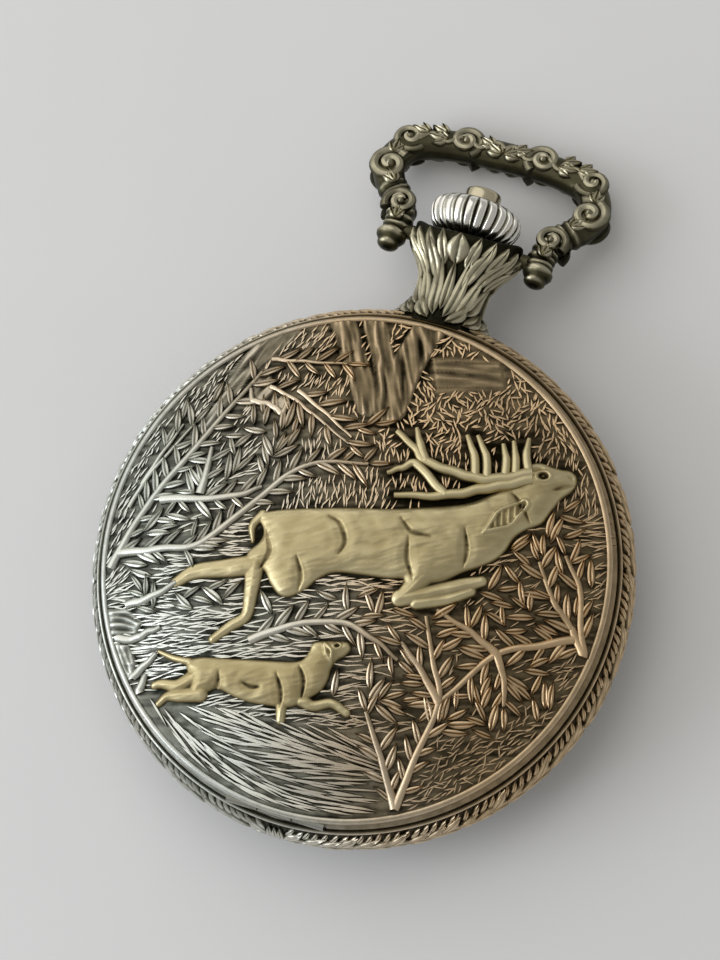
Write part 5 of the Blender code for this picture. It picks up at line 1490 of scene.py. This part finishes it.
@dataclass
class Pendant:
    """Neck that carries the crown and the bow: an oval cup with two ears, dressed in acanthus blades."""

    finishes: Finishes
    radius: float = 3.4
    flatten: float = 0.72
    steps: int = 96

    def place(self, u: Array, v: Array, lift: Array) -> Array:
        """Put points on the neck: u is the way round from the front at one radius, v the height."""
        flank = curve_through(PENDANT_SIDE, 60)
        a, v, lift = np.broadcast_arrays(np.asarray(u) / self.radius, v, lift)
        return round_stem(np.interp(v, flank[:, 1], flank[:, 0]) + lift, a, v, self.flatten)

    def build(self) -> None:
        """Build the neck and its blades."""
        rows = np.vstack([curve_through(PENDANT_SIDE, 40), PENDANT_LIP])
        a = np.arange(self.steps) * TURN / self.steps
        r, y = (column[:, None] for column in rows.T)
        ears = 0.95 * np.sin(a)[None] ** 4 * smooth(y, 30.6, 31.8) * smooth(r, 3.6, 4.2)
        points = round_stem(r, a, y + ears, self.flatten)
        put_mesh(Piece("pendant_neck", self.finishes.scroll, "case", replaces=("pendant",)), points,
                 ring_faces(len(rows), self.steps), {"patina": np.full(len(points), 0.16)})
        leaves = []
        for face in (0.0, self.radius * math.pi):
            for side in (1, -1):
                for count, foot, step, tilt, length, half, bend, lift in PENDANT_LEAVES:
                    for k in range(count):
                        leaves.append((face + side * (foot[0] + step[0] * k), foot[1] + step[1] * k,
                                       QUARTER - side * (tilt[0] + tilt[1] * k), length[0] + length[1] * k,
                                       half, side * bend, lift))
            leaves.append((face, 29.0, QUARTER, 2.7, 0.95, 0.0, 0.1))
            leaves.append((face, 24.6, QUARTER, 4.9, 0.62, 0.0, 0.08))
        put_shapes(Piece("pendant_blades", self.finishes.scroll, "case"),
                   [leaf_shapes(leaves, self.place, 0.0, 0.42)])


BOW_HALF = [(6.9, -0.7), (6.9, 1.1), (7.5, 3.0), (8.9, 4.6), (9.8, 6.4), (9.5, 8.3), (8.2, 9.8), (5.6, 10.6),
            (2.8, 10.85), (0.0, 10.9)]
BOW_RADII = [1.2, 1.25, 1.3, 1.4, 1.5, 1.5, 1.5, 1.45, 1.42, 1.42]
ACROSS = np.array([1.0, 0.0, 0.0])
# Volutes of the right half: middle, outer radius, turns, way round and start angle.
VOLUTES = [((7.2, 2.35), 1.5, 1.5, 1, -0.6), ((9.6, 6.1), 1.8, 1.6, -1, 2.2),
           ((8.85, 9.75), 1.5, 1.5, 1, 3.6), ((3.7, 10.85), 1.6, 1.6, -1, 4.2)]
# Leaves of the right half: foot, heading and length.
BOW_LEAVES = [(0.1, 10.2, 0.5, 1.7), (1.0, 10.9, 0.35, 1.5), (5.3, 10.3, 0.05, 1.8), (5.6, 11.0, 0.3, 1.5),
              (7.2, 10.6, 0.2, 1.6), (9.7, 7.4, 1.6, 1.5), (8.4, 4.2, 0.8, 1.6), (7.0, 0.3, 1.45, 1.4)]
# Round buds on the outer edge of the right half: place and radius.
BUDS = [((1.1, 11.6), 0.62), ((4.1, 11.75), 0.66), ((7.2, 11.2), 0.66), ((10.2, 8.1), 0.62),
        ((8.7, 3.6), 0.6)]


@dataclass
class Bow:
    """Hanging ring of cast scrolls: ribbed arms, volutes on both faces, beads, and leaves along the bar."""

    finishes: Finishes
    pivot_y: float = 31.6
    drop: float = math.radians(20.0)
    rib: float = 0.8
    leaf_lift: float = 0.95
    steps: int = 220
    sides: int = 20
    bead_steps: int = 26
    bead_sides: int = 16

    def hang(self, points: Array) -> Array:
        """Carry points of the bow's own plane to where the bow hangs, tipped back about its pivots.

        Args:
            points: places in the plane, one row each.

        Returns:
            Places in the watch frame.
        """
        c, s = math.cos(self.drop), math.sin(self.drop)
        x, y, z = points.T
        return np.stack([x, self.pivot_y + y * c + z * s, STEM_Z - y * s + z * c], -1)

    def core(self) -> Shape:
        """Sweep the body of the ring from knob to knob, ribbed on its arms.

        Returns:
            Its points, quads and patina.
        """
        flat = curve_through([(-x, y) for x, y in BOW_HALF] + BOW_HALF[-2::-1], self.steps)
        ribs = smooth(-flat[:, 1], -5.0, -3.8) * np.cos(TURN * reach_along(flat) / self.rib)
        radius = along(BOW_RADII + BOW_RADII[-2::-1], self.steps) * (1 + 0.08 * ribs)
        line = np.column_stack([flat, np.zeros(self.steps)])
        points, quads = swept(line, radius, self.sides, UP, 0.86, 2.3)
        ridge = np.repeat(0.5 + 0.35 * np.concatenate([[0], ribs, [0]]), self.sides)
        return self.hang(points), quads, {"patina": ridge * smooth(np.abs(points[:, 2]), -0.4, 0.7)}

    def volute(self, middle: tuple, size: float, turns: float, way: int, start: float, face: int,
               side: int) -> Shape:
        """Sweep a scroll whose radius falls evenly to a seventh as it turns.

        Args:
            middle: its middle on the right half.
            size: outer radius.
            turns: how often it goes round.
            way: 1 or -1, the way it goes round.
            start: angle of its outer end.
            face: 1 in front, -1 behind.
            side: 1 for the right half, -1 for the left.

        Returns:
            Points, quads and patina.
        """
        t = np.linspace(0, 1, 44)
        angle = start + way * TURN * turns * t
        r = size * (1 - 0.86 * t)
        path = np.column_stack([side * (middle[0] + r * np.cos(angle)), middle[1] + r * np.sin(angle),
                                face * (0.82 + 0.4 * t)])
        points, quads = swept(path, size * (0.3 - 0.08 * t), 8)
        return self.hang(points), quads, {"patina": 0.2 + 0.7 * smooth(np.abs(points[:, 2]), 0.7, 1.6)}

    def bead(self, place: tuple, size: float, flat: float, axis: int = 2, ribs: float = 0.0) -> Shape:
        """Turn a flattened bead about the bow's normal or, ribbed, along its arm.

        Args:
            place: middle in the bow's plane.
            size: radius across the axis.
            flat: half length over radius.
            axis: 2 for the normal, 1 for the arm.
            ribs: depth of the ribs, as a share of the radius.

        Returns:
            Points, quads and patina.
        """
        t = np.linspace(-1, 1, self.bead_steps)
        path = np.zeros((self.bead_steps, 3)) + np.array([*place, 0.0])
        path[:, axis] += flat * size * np.sin(t * QUARTER)
        wave = 1 + ribs * np.cos(t * 3.5 * TURN / 2)
        points, quads = swept(path, size * np.cos(t * QUARTER) * wave + 1e-3, self.bead_sides, ACROSS)
        ridge = np.repeat(np.concatenate([wave[:1], wave, wave[-1:]]), self.bead_sides)
        worn = 0.3 + 0.4 * smooth(np.abs(points[:, 2]), 0.2, size) + 2.5 * (ridge - 1)
        return self.hang(points), quads, {"patina": np.clip(worn, 0, 1)}

    def vine(self, face: int, side: int) -> Shape:
        """Sweep the stem that winds along half of the bar between its volutes.

        Args:
            face: 1 in front, -1 behind.
            side: 1 right, -1 left.

        Returns:
            Its points, quads and patina.
        """
        x = np.linspace(0.0, 8.0, 40)
        y = np.interp(x, [0, 2.8, 5.6, 8.0], [10.9, 10.85, 10.6, 9.9]) + 0.5 * np.sin(TURN * x / 3.1)
        points, quads = swept(np.column_stack([side * x, y, np.full(40, face * 1.12)]), np.full(40, 0.28), 8)
        return self.hang(points), quads, {"patina": 0.2 + 0.6 * smooth(np.abs(points[:, 2]), 1.0, 1.45)}

    def pin(self, side: int) -> Shape:
        """Sweep the pivot pin of one arm."""
        line = np.column_stack([side * np.linspace(5.12, 6.6, 6), np.zeros(6), np.zeros(6)])
        points, quads = swept(line, np.full(6, 0.7), 16)
        return self.hang(points), quads, {"patina": np.full(len(points), 0.5)}

    def leaves(self, face: int) -> Shape:
        """Shape the leaves of one face, in threes.

        Args:
            face: 1 in front, -1 behind.

        Returns:
            Its points, quads and patina.
        """
        leaves = []
        for side in (1, -1):
            for x, y, heading, size in BOW_LEAVES:
                for turn, share, lift in ((-0.55, 0.9, 0.0), (0.0, 1.15, 0.06), (0.55, 0.9, 0.0)):
                    leaves.append((side * x, y, mirrored(heading, side) + turn, size * share, 0.45,
                                   0.12 * turn, lift))

        def place(u: Array, v: Array, lift: Array) -> Array:
            """Put leaf points on this face of the bow's plane."""
            spots = np.stack(np.broadcast_arrays(u, v, face * (lift + self.leaf_lift)), -1)
            return self.hang(spots.reshape(-1, 3))

        return leaf_shapes(leaves, place, 0.0, 0.42)

    def build(self) -> None:
        """Gather the ring, its scrolls, beads, leaves and pivot pins."""
        shapes = [self.core()]
        for side in (1, -1):
            for volute in VOLUTES:
                (x, y), size = volute[:2]
                shapes += [self.volute(*volute, face, side) for face in (1, -1)]
                shapes.append(self.bead((side * x, y), 0.34 * size, 3.0))
            shapes += [self.vine(face, side) for face in (1, -1)]
            shapes += [self.bead((side * x, y), size, 1.1) for (x, y), size in BUDS]
            shapes.append(self.bead((side * 7.0, -0.9), 1.3, 1.15, 1, 0.1))
            shapes.append(self.pin(side))
        shapes += [self.leaves(face) for face in (1, -1)]
        put_shapes(Piece("bow_ring", self.finishes.scroll, "bow", replaces=("bow",)), shapes)


CROWN_OUTSIDE = [(1.9, 35.8), (2.7, 35.72), (3.5, 35.45), (4.05, 35.0), (4.25, 34.4), (4.14, 33.7),
                 (3.8, 33.0), (3.25, 32.45), (2.4, 32.05)]
CROWN_INSIDE = [(0.82, 32.05), (0.82, 33.3), (1.78, 33.3), (1.78, 35.72)]
BUTTON_CAP = [(0.0, 37.2), (0.9, 37.17), (1.35, 37.08), (1.55, 36.96), (1.65, 36.78), (1.65, 36.2),
              (1.65, 35.5), (1.55, 35.4), (0.35, 35.4), (0.35, 33.6), (0.0, 33.6)]


@dataclass
class CrownAndButton:
    """Fluted winding crown with the release button in its top."""

    finishes: Finishes
    flutes: int = 24
    flute_steps: int = 12
    flute_depth: float = 0.55

    def build(self) -> None:
        """Build the crown as a turned profile whose radius dips between its flutes, then the button."""
        outer = curve_through(CROWN_OUTSIDE, 32)
        rows = np.vstack([outer, CROWN_INSIDE])
        columns = self.flutes * self.flute_steps
        a = np.arange(columns) * TURN / columns
        dip = (0.5 - 0.5 * np.cos(self.flutes * a)) ** 4.0
        depth = self.flute_depth * smooth(-outer[:, 1], -35.75, -34.6) * smooth(outer[:, 0], 1.9, 3.1)
        depth = np.concatenate([depth, np.zeros(len(CROWN_INSIDE))])[:, None]
        r = rows[:, :1] - depth * dip[None]
        worn = 1.0 - 0.9 * smooth(dip, 0.35, 1.0)[None] * (depth > 0.1)
        put_mesh(Piece("crown_fluted", self.finishes.crown, "crown", replaces=("crown",)),
                 round_stem(r, a, rows[:, 1:]), ring_faces(len(rows), columns), {"patina": worn.ravel()})
        put_turned(Piece("button_cap", self.finishes.button, "button", replaces=("release_button",)),
                   BUTTON_CAP, 64, Axis.STEM)


BACK_OUTSIDE = [(22.7, 3.0), (22.7, 2.5), (22.4, 2.2), (21.6, 1.88), (20.9, 1.74), (17, 0.86),
                (13, 0.29), (9, 0.02), (4, 0.0), (0.0, 0.0)]
BACK_INSIDE = [(0.0, 0.7), (9, 0.7), (17, 1.55), (21.2, 2.6), (22, 3.0)]
# Height of the outside at some radii, which carries the wreath.
BACK_DISH = ([0, 9, 13, 17, 21.6, 22.7], [0.0, 0.0, 0.28, 0.85, 1.85, 2.4])
# Grooves that edge the wreath: depth, radius and half width.
BACK_GROOVES = ((0.12, 20.4, 0.25), (0.1, 14.6, 0.2))


@dataclass
class BackCover:
    """Rear cover: a plain dished plate with a laurel wreath round a smooth field, and its hinge knuckle."""

    finishes: Finishes
    wreath_radius: float = 18.0
    wreath_pairs: int = 30
    wreath_lean: float = 0.6

    def place(self, u: Array, v: Array, lift: Array) -> Array:
        """Put points on the outside: u is the way round at the wreath's radius, v outwards from there."""
        a, v, lift = np.broadcast_arrays(np.asarray(u) / self.wreath_radius, v, lift)
        r = self.wreath_radius + v
        return np.stack([r * np.cos(a), r * np.sin(a), np.interp(r, *BACK_DISH) - lift], -1).reshape(-1, 3)

    def build(self) -> None:
        """Build the plate, the wreath and the knuckle."""
        outside = curve_through(BACK_OUTSIDE, 60)
        outside[:, 1] += sum(depth * np.exp(-((outside[:, 0] - r) / half) ** 2)
                             for depth, r, half in BACK_GROOVES)
        profile = np.maximum(np.vstack([outside, curve_through(BACK_INSIDE, 24)]), 0.0)
        put_turned(Piece("back_plate", self.finishes.rim, "back", replaces=("back_cover",)), profile, 192)
        leaves = []
        for side in (1, -1):
            for k in range(self.wreath_pairs):
                u = -self.wreath_radius * QUARTER + side * (1.2 + 1.72 * k)
                for row in (1, -1):
                    leaves.append((u, 0.1 * row - 0.4, mirrored(row * self.wreath_lean, side), 3.0, 0.55,
                                   -0.1 * row * side, 0.0))
        put_shapes(Piece("back_wreath", self.finishes.ornament, "back"),
                   [leaf_shapes(leaves, self.place, -0.08, 0.22)])
        put_turned(Piece("back_knuckle", self.finishes.rim, "back"), KNUCKLE, KNUCKLE_STEPS, Axis.BACK_HINGE)


DIAL_TOP = 8.1
PRINT_LOW = DIAL_TOP - 0.02
PRINT_HIGH = DIAL_TOP + 0.03
SECONDS = (0.0, -8.8)
MIDDLE = (0.0, 0.0)
# Printed scales: centre, inner and outer radius of the ticks, half width of the ticks and of the rings.
SCALES = ((MIDDLE, 17.0, 17.7, 0.05, 0.045), (SECONDS, 3.3, 3.8, 0.035, 0.035))
NUMERALS = ["XII", "I", "II", "III", "IIII", "V", "VI", "VII", "VIII", "IX", "X", "XI"]
# Width of each letter, and its strokes: starts and ends in shares of its width and height, and half width.
LETTERS = {"I": (0.62, [(0.5, 0.0, 0.5, 1.0, 0.17)]),
           "V": (1.3, [(0.06, 1.0, 0.5, 0.0, 0.17), (0.94, 1.0, 0.5, 0.0, 0.06)]),
           "X": (1.3, [(0.06, 1.0, 0.94, 0.0, 0.17), (0.94, 1.0, 0.06, 0.0, 0.06)])}
BEZEL = [(18.8, 9.9), (19.3, 9.95), (19.55, 9.9), (19.8, 9.78), (19.97, 9.6), (20.05, 9.36), (20.05, 9.08),
         (18.8, 9.08), (18.8, 9.28), (19.42, 9.28), (19.42, 9.82), (18.8, 9.82)]
BAR_FACES = np.array([(3, 2, 1, 0), (4, 5, 6, 7), (0, 1, 5, 4), (1, 2, 6, 5), (2, 3, 7, 6), (3, 0, 4, 7)])


def bars(strokes: list[tuple[float, ...]]) -> Shape:
    """Make a flat printed bar of each stroke.

    Args:
        strokes: for each, start x and y, end x and y, half width and height of its top.

    Returns:
        Points, quads and no named numbers.
    """
    s = np.array(strokes, float)
    start, end, half, top = s[:, 0:2], s[:, 2:4], s[:, 4], s[:, 5]
    run = unit(end - start)
    side = np.stack([-run[:, 1], run[:, 0]], 1) * half[:, None]
    flat = np.stack([start - side, end - side, end + side, start + side], 1)
    foot = np.concatenate([flat, np.full((len(s), 4, 1), PRINT_LOW)], 2)
    head = np.concatenate([flat, np.broadcast_to(top[:, None, None], (len(s), 4, 1))], 2)
    points = np.concatenate([foot, head], 1).reshape(-1, 3)
    return points, (np.arange(len(s))[:, None, None] * 8 + BAR_FACES[None]).reshape(-1, 4), {}


def finish_nodes(material: Material, *names: str) -> None:
    """Give frame nodes a finish."""
    for name in names:
        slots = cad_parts[name].data.materials
        slots.clear()
        slots.append(material)


@dataclass
class Face:
    """What the open lid shows: polished bezel, crystal, enamel dial with its printing, and blued hands."""

    finishes: Finishes
    numeral_low: float = 13.2
    numeral_high: float = 16.0

    def numeral(self, hour: int) -> list[tuple[float, ...]]:
        """Strokes of one hour's numeral, its foot towards the centre.

        Args:
            hour: 1 to 12.

        Returns:
            Strokes: two ends, a half width and a top each.
        """
        letters = NUMERALS[hour]
        width = sum(LETTERS[c][0] for c in letters)
        angle = QUARTER - TURN * hour / 12
        out = np.array([math.cos(angle), math.sin(angle)])
        across = np.array([out[1], -out[0]])
        tall = self.numeral_high - self.numeral_low
        left = -width / 2
        strokes = []
        for letter in letters:
            wide, lines = LETTERS[letter]
            for x0, y0, x1, y1, half in lines:
                strokes.append((left + wide * x0, tall * y0, left + wide * x1, tall * y1, half, PRINT_HIGH))
            left += wide
        strokes += [(-width / 2, tall * y, width / 2, tall * y, 0.07, DIAL_TOP + 0.024) for y in (0.0, 1.0)]
        foot = out * self.numeral_low
        return [(*(foot + across * x0 + out * y0), *(foot + across * x1 + out * y1), half, top)
                for x0, y0, x1, y1, half, top in strokes]

    def ticks(self, centre: tuple[float, float], inner: float, outer: float, width: float) -> list:
        """Sixty strokes round a centre, every fifth of them broader.

        Args:
            centre: their centre.
            inner: where they begin.
            outer: where they end.
            width: half of a plain one's width.

        Returns:
            Strokes, as those of a numeral.
        """
        strokes = []
        for k in range(60):
            c, s = math.cos(TURN * k / 60), math.sin(TURN * k / 60)
            half = width * (2.2 if k % 5 == 0 else 1.0)
            strokes.append((centre[0] + inner * c, centre[1] + inner * s, centre[0] + outer * c,
                            centre[1] + outer * s, half, PRINT_HIGH))
        return strokes

    def circle_line(self, centre: tuple[float, float], radius: float, half: float) -> Shape:
        """A printed ring."""
        low, high = PRINT_LOW, DIAL_TOP + 0.02
        section = [(radius - half, low), (radius + half, low), (radius + half, high), (radius - half, high)]
        return turned_shape(section, 120, centre)

    def build(self) -> None:
        """Build the bezel and the printing, and finish the glass, the dial and the hands."""
        put_turned(Piece("bezel_ring", self.finishes.polish, "case", replaces=("bezel",)), BEZEL, 192)
        strokes = [stroke for hour in range(12) for stroke in self.numeral(hour)]
        rings = []
        for centre, inner, outer, width, half in SCALES:
            strokes += self.ticks(centre, inner, outer, width)
            rings += [self.circle_line(centre, r, half) for r in (inner, outer)]
        put_shapes(Piece("dial_printing", self.finishes.ink, "case", Slot.ENAMEL), [bars(strokes)] + rings)
        finish_nodes(self.finishes.enamel, "dial")
        finish_nodes(self.finishes.glass, "crystal")
        finish_nodes(self.finishes.blued, "hour_hand", "minute_hand", "second_hand")


@dataclass(frozen=True)
class ScrewKind:
    """Sizes of like screws: head radius, head from and to, shank radius and end; and their body."""

    radius: float
    outer: float
    inner: float
    shank: float
    end: float
    body: str = "case"


BRIDGE_SCREW = ScrewKind(1.0, 3.1, 3.4, 0.4, 6.7)
CASE_SCREW = ScrewKind(1.6, 5.6, 5.95, 0.4, 6.8)
SCREWS = {"barrel_bridge_screw_1": ((12.5, 6.2), BRIDGE_SCREW),
          "barrel_bridge_screw_2": ((-4.2, 15.6), BRIDGE_SCREW),
          "barrel_bridge_screw_3": ((-15.2, 3.8), BRIDGE_SCREW),
          "train_bridge_screw_1": ((13.2, -5.5), BRIDGE_SCREW),
          "train_bridge_screw_2": ((3.0, -15.3), BRIDGE_SCREW),
          "cock_screw": ((-14.2, -0.7), ScrewKind(1.2, 2.1, 2.42, 0.42, 6.7)),
          "case_screw_1": ((17.3, 0.0), CASE_SCREW), "case_screw_2": ((-10.6, 14.0), CASE_SCREW),
          "ratchet_screw": ((-6.0, 5.9), ScrewKind(1.5, 2.68, 2.97, 0.7, 3.1, "ratchet")),
          "crown_wheel_screw": ((0.0, 12.2), ScrewKind(1.5, 2.68, 2.97, 0.78, 4.2)),
          "click_screw": ((-12.6, 4.2), ScrewKind(0.75, 2.72, 2.97, 0.4, 4.2))}
# Jewels: centre, bore, the face of the bridge that holds it, and whether it has a gilt setting.
JEWELS = [(MIDDLE, 0.52, 3.45, True), ((4.22, -5.27), 0.32, 3.45, True), (SECONDS, 0.37, 3.45, True),
          ((-4.605, -10.476), 0.3, 3.45, True), ((-10.28, -7.2), 0.27, 2.5, False),
          ((-7.36, -8.886), 0.32, 4.95, False)]
# Sections of a stone and of its setting, outwards from the bore and up from the bridge's face.
STONE = np.array([(0.0, -0.02), (0.34, -0.04), (0.44, -0.01), (0.44, 0.12), (0.0, 0.12)])
SETTING = np.array([(0.4, -0.05), (0.68, -0.05), (0.74, -0.01), (0.74, 0.12), (0.4, 0.12)])


BRASS_NODES = ("mainplate", "movement_ring", "stem_sleeve", "centre_wheel", "third_wheel", "fourth_wheel",
               "minute_wheel", "hour_wheel", "barrel_drum", "barrel_cover", "balance_wheel")
STEEL_NODES = ("lid_hinge_pin", "back_hinge_pin", "lid_lift_spring", "winding_stem", "button_spring",
               "winding_pinion", "clutch_wheel", "setting_lever", "lid_catch", "crown_wheel",
               "ratchet_wheel", "barrel_arbor", "click", "click_spring", "cannon_pinion", "mainspring",
               "escape_wheel", "pallet_fork", "regulator")


@dataclass
class Movement:
    """Plates, wheels and springs in their metals, with slotted screws and jewelled bearings."""

    finishes: Finishes
    turn_steps: int = 32
    land_steps: int = 18
    seed: int = 3

    def screw(self, name: str, slot_angle: float) -> None:
        """Build a slotted screw: a turned shank and disc, and on it two lands either side of the slot.

        Args:
            name: its node.
            slot_angle: the way that the slot points.
        """
        centre, kind = SCREWS[name]
        r, outer, inner, shank, end = kind.radius, kind.outer, kind.inner, kind.shank, kind.end
        floor = outer + 0.5 * (inner - outer)
        disc = [(0.0, floor), (r, floor), (r, inner), (shank, inner), (shank, end), (0.0, end)]
        shapes = [turned_shape(disc, self.turn_steps, centre)]
        slot_half = 0.16 * r
        face = 0.92 * r
        t = np.linspace(-1, 1, self.land_steps)
        low, high = math.acos(slot_half / r) * t, math.acos(slot_half / face) * t
        straight = np.full(self.land_steps, slot_half)
        x = np.stack([straight, face * np.cos(high), r * np.cos(low), straight])
        y = np.stack([face * np.sin(high), face * np.sin(high), r * np.sin(low), r * np.sin(low)])
        z = np.repeat([[outer], [outer], [floor + 0.04], [floor + 0.04]], self.land_steps, 1)
        c, s = math.cos(slot_angle), math.sin(slot_angle)
        for way in (1, -1):
            land = np.stack([centre[0] + way * (x * c - y * s), centre[1] + way * (x * s + y * c), z], -1)
            shapes.append((land.reshape(-1, 3), grid_faces(4, self.land_steps, wrap_rows=True), {}))
        put_shapes(Piece(name + "_slotted", self.finishes.blued, kind.body, Slot.BLUED, (name,)), shapes)

    def jewels(self) -> None:
        """Set ruby rings in the bridges, the train's in gilt settings, each a hair proud of its bridge."""
        stones = [turned_shape(STONE + (bore, level), self.turn_steps, centre)
                  for centre, bore, level, _ in JEWELS]
        settings = [turned_shape(SETTING + (bore, level), self.turn_steps, centre)
                    for centre, bore, level, gilt in JEWELS if gilt]
        put_shapes(Piece("jewel_rings", self.finishes.ruby, "case", Slot.GLASS), stones)
        put_shapes(Piece("jewel_settings", self.finishes.brass, "case", Slot.BRASS), settings)

    def build(self) -> None:
        """Finish the plates, wheels and steel work, then build the screws and the jewels."""
        finish_nodes(self.finishes.rim, "case_band")
        finish_nodes(self.finishes.nickel, "barrel_bridge", "train_bridge", "balance_cock", "pallet_bridge")
        finish_nodes(self.finishes.brass, *BRASS_NODES)
        finish_nodes(self.finishes.steel, *STEEL_NODES)
        finish_nodes(self.finishes.blued, "hairspring")
        rng = np.random.default_rng(self.seed)
        for name in SCREWS:
            self.screw(name, rng.uniform(0, math.pi))
        self.jewels()


# Lamps: name, place in metres, side, watts and colour.
LAMPS = (("key", (-0.34, 0.16, 0.42), 0.9, 1.8, "fffdfa"),
         ("side", (-0.38, -0.22, 0.2), 0.3, 0.95, "eef4ff"))
# The photograph's viewpoint: the camera's right, up and backward directions, and its place in
# millimetres.
CAMERA_AXES = ((0.939185, 0.304486, -0.158809), (-0.264496, 0.936314, 0.230994),
               (0.219029, -0.174941, 0.959907))
CAMERA_PLACE = (54.7815, -37.7283, 257.8811)


@dataclass
class Studio:
    """Floor, lamps, sky and camera."""

    floor_half: float = 2.0
    sky_colour: str = "d8d7d5"
    sky_strength: float = 0.56
    lens: float = 110.0
    near: float = 0.01

    def build(self) -> None:
        """Set the stage at the photograph's angle."""
        scene = bpy.context.scene
        scene.view_settings.view_transform = "Standard"
        self.floor()
        for lamp in LAMPS:
            self.lamp(*lamp)
        world = bpy.data.worlds.new("studio_air")
        scene.world = world
        world.use_nodes = True
        sky = world.node_tree.nodes["Background"]
        feed(world.node_tree, sky, {"Color": linear(self.sky_colour), "Strength": self.sky_strength})
        self.camera()

    def add(self, name: str, data: bpy.types.ID) -> bpy.types.Object:
        """Add an object to the scene."""
        made = bpy.data.objects.new(name, data)
        bpy.context.scene.collection.objects.link(made)
        return made

    def floor(self) -> None:
        """Lay the pale floor under the back cover."""
        h = self.floor_half
        mesh = bpy.data.meshes.new("floor")
        mesh.from_pydata([(-h, -h, 0), (h, -h, 0), (h, h, 0), (-h, h, 0)], [], [(0, 1, 2, 3)])
        mesh.materials.append(PaleFloor("board_off_white", "e8e8e7").make())
        self.add("floor", mesh)

    def lamp(self, name: str, place: tuple, size: float, watts: float, colour: str) -> None:
        """Hang a soft square lamp that faces the watch.

        Args:
            name: its name.
            place: where it hangs.
            size: its side.
            watts: its power.
            colour: its colour.
        """
        data = bpy.data.lights.new(name, "AREA")
        data.size = size
        data.energy = watts
        data.color = linear(colour)[:3]
        lamp = self.add(name, data)
        lamp.location = place
        lamp.rotation_euler = (-Vector(place)).to_track_quat("-Z", "Y").to_euler()

    def camera(self) -> None:
        """Place the camera where the photograph was taken from."""
        data = bpy.data.cameras.new("camera")
        data.lens = self.lens
        data.clip_start = self.near
        camera = self.add("camera", data)
        turn = Matrix([Vector(axis) for axis in CAMERA_AXES]).transposed().to_4x4()
        turn.translation = Vector(CAMERA_PLACE) * MM
        camera.matrix_world = turn
        bpy.context.scene.camera = camera


def main() -> None:
    """Build every assembly in order, then set up the studio."""
    logging.basicConfig(level=logging.INFO, format="%(message)s")
    finishes = Finishes()
    for assembly in (Lid(finishes), CaseBand(finishes), Pendant(finishes), Bow(finishes),
                     CrownAndButton(finishes), BackCover(finishes), Face(finishes), Movement(finishes)):
        assembly.build()
        LOG.info("%s built", type(assembly).__name__)
    Studio().build()


if __name__ == "__main__":
    main()
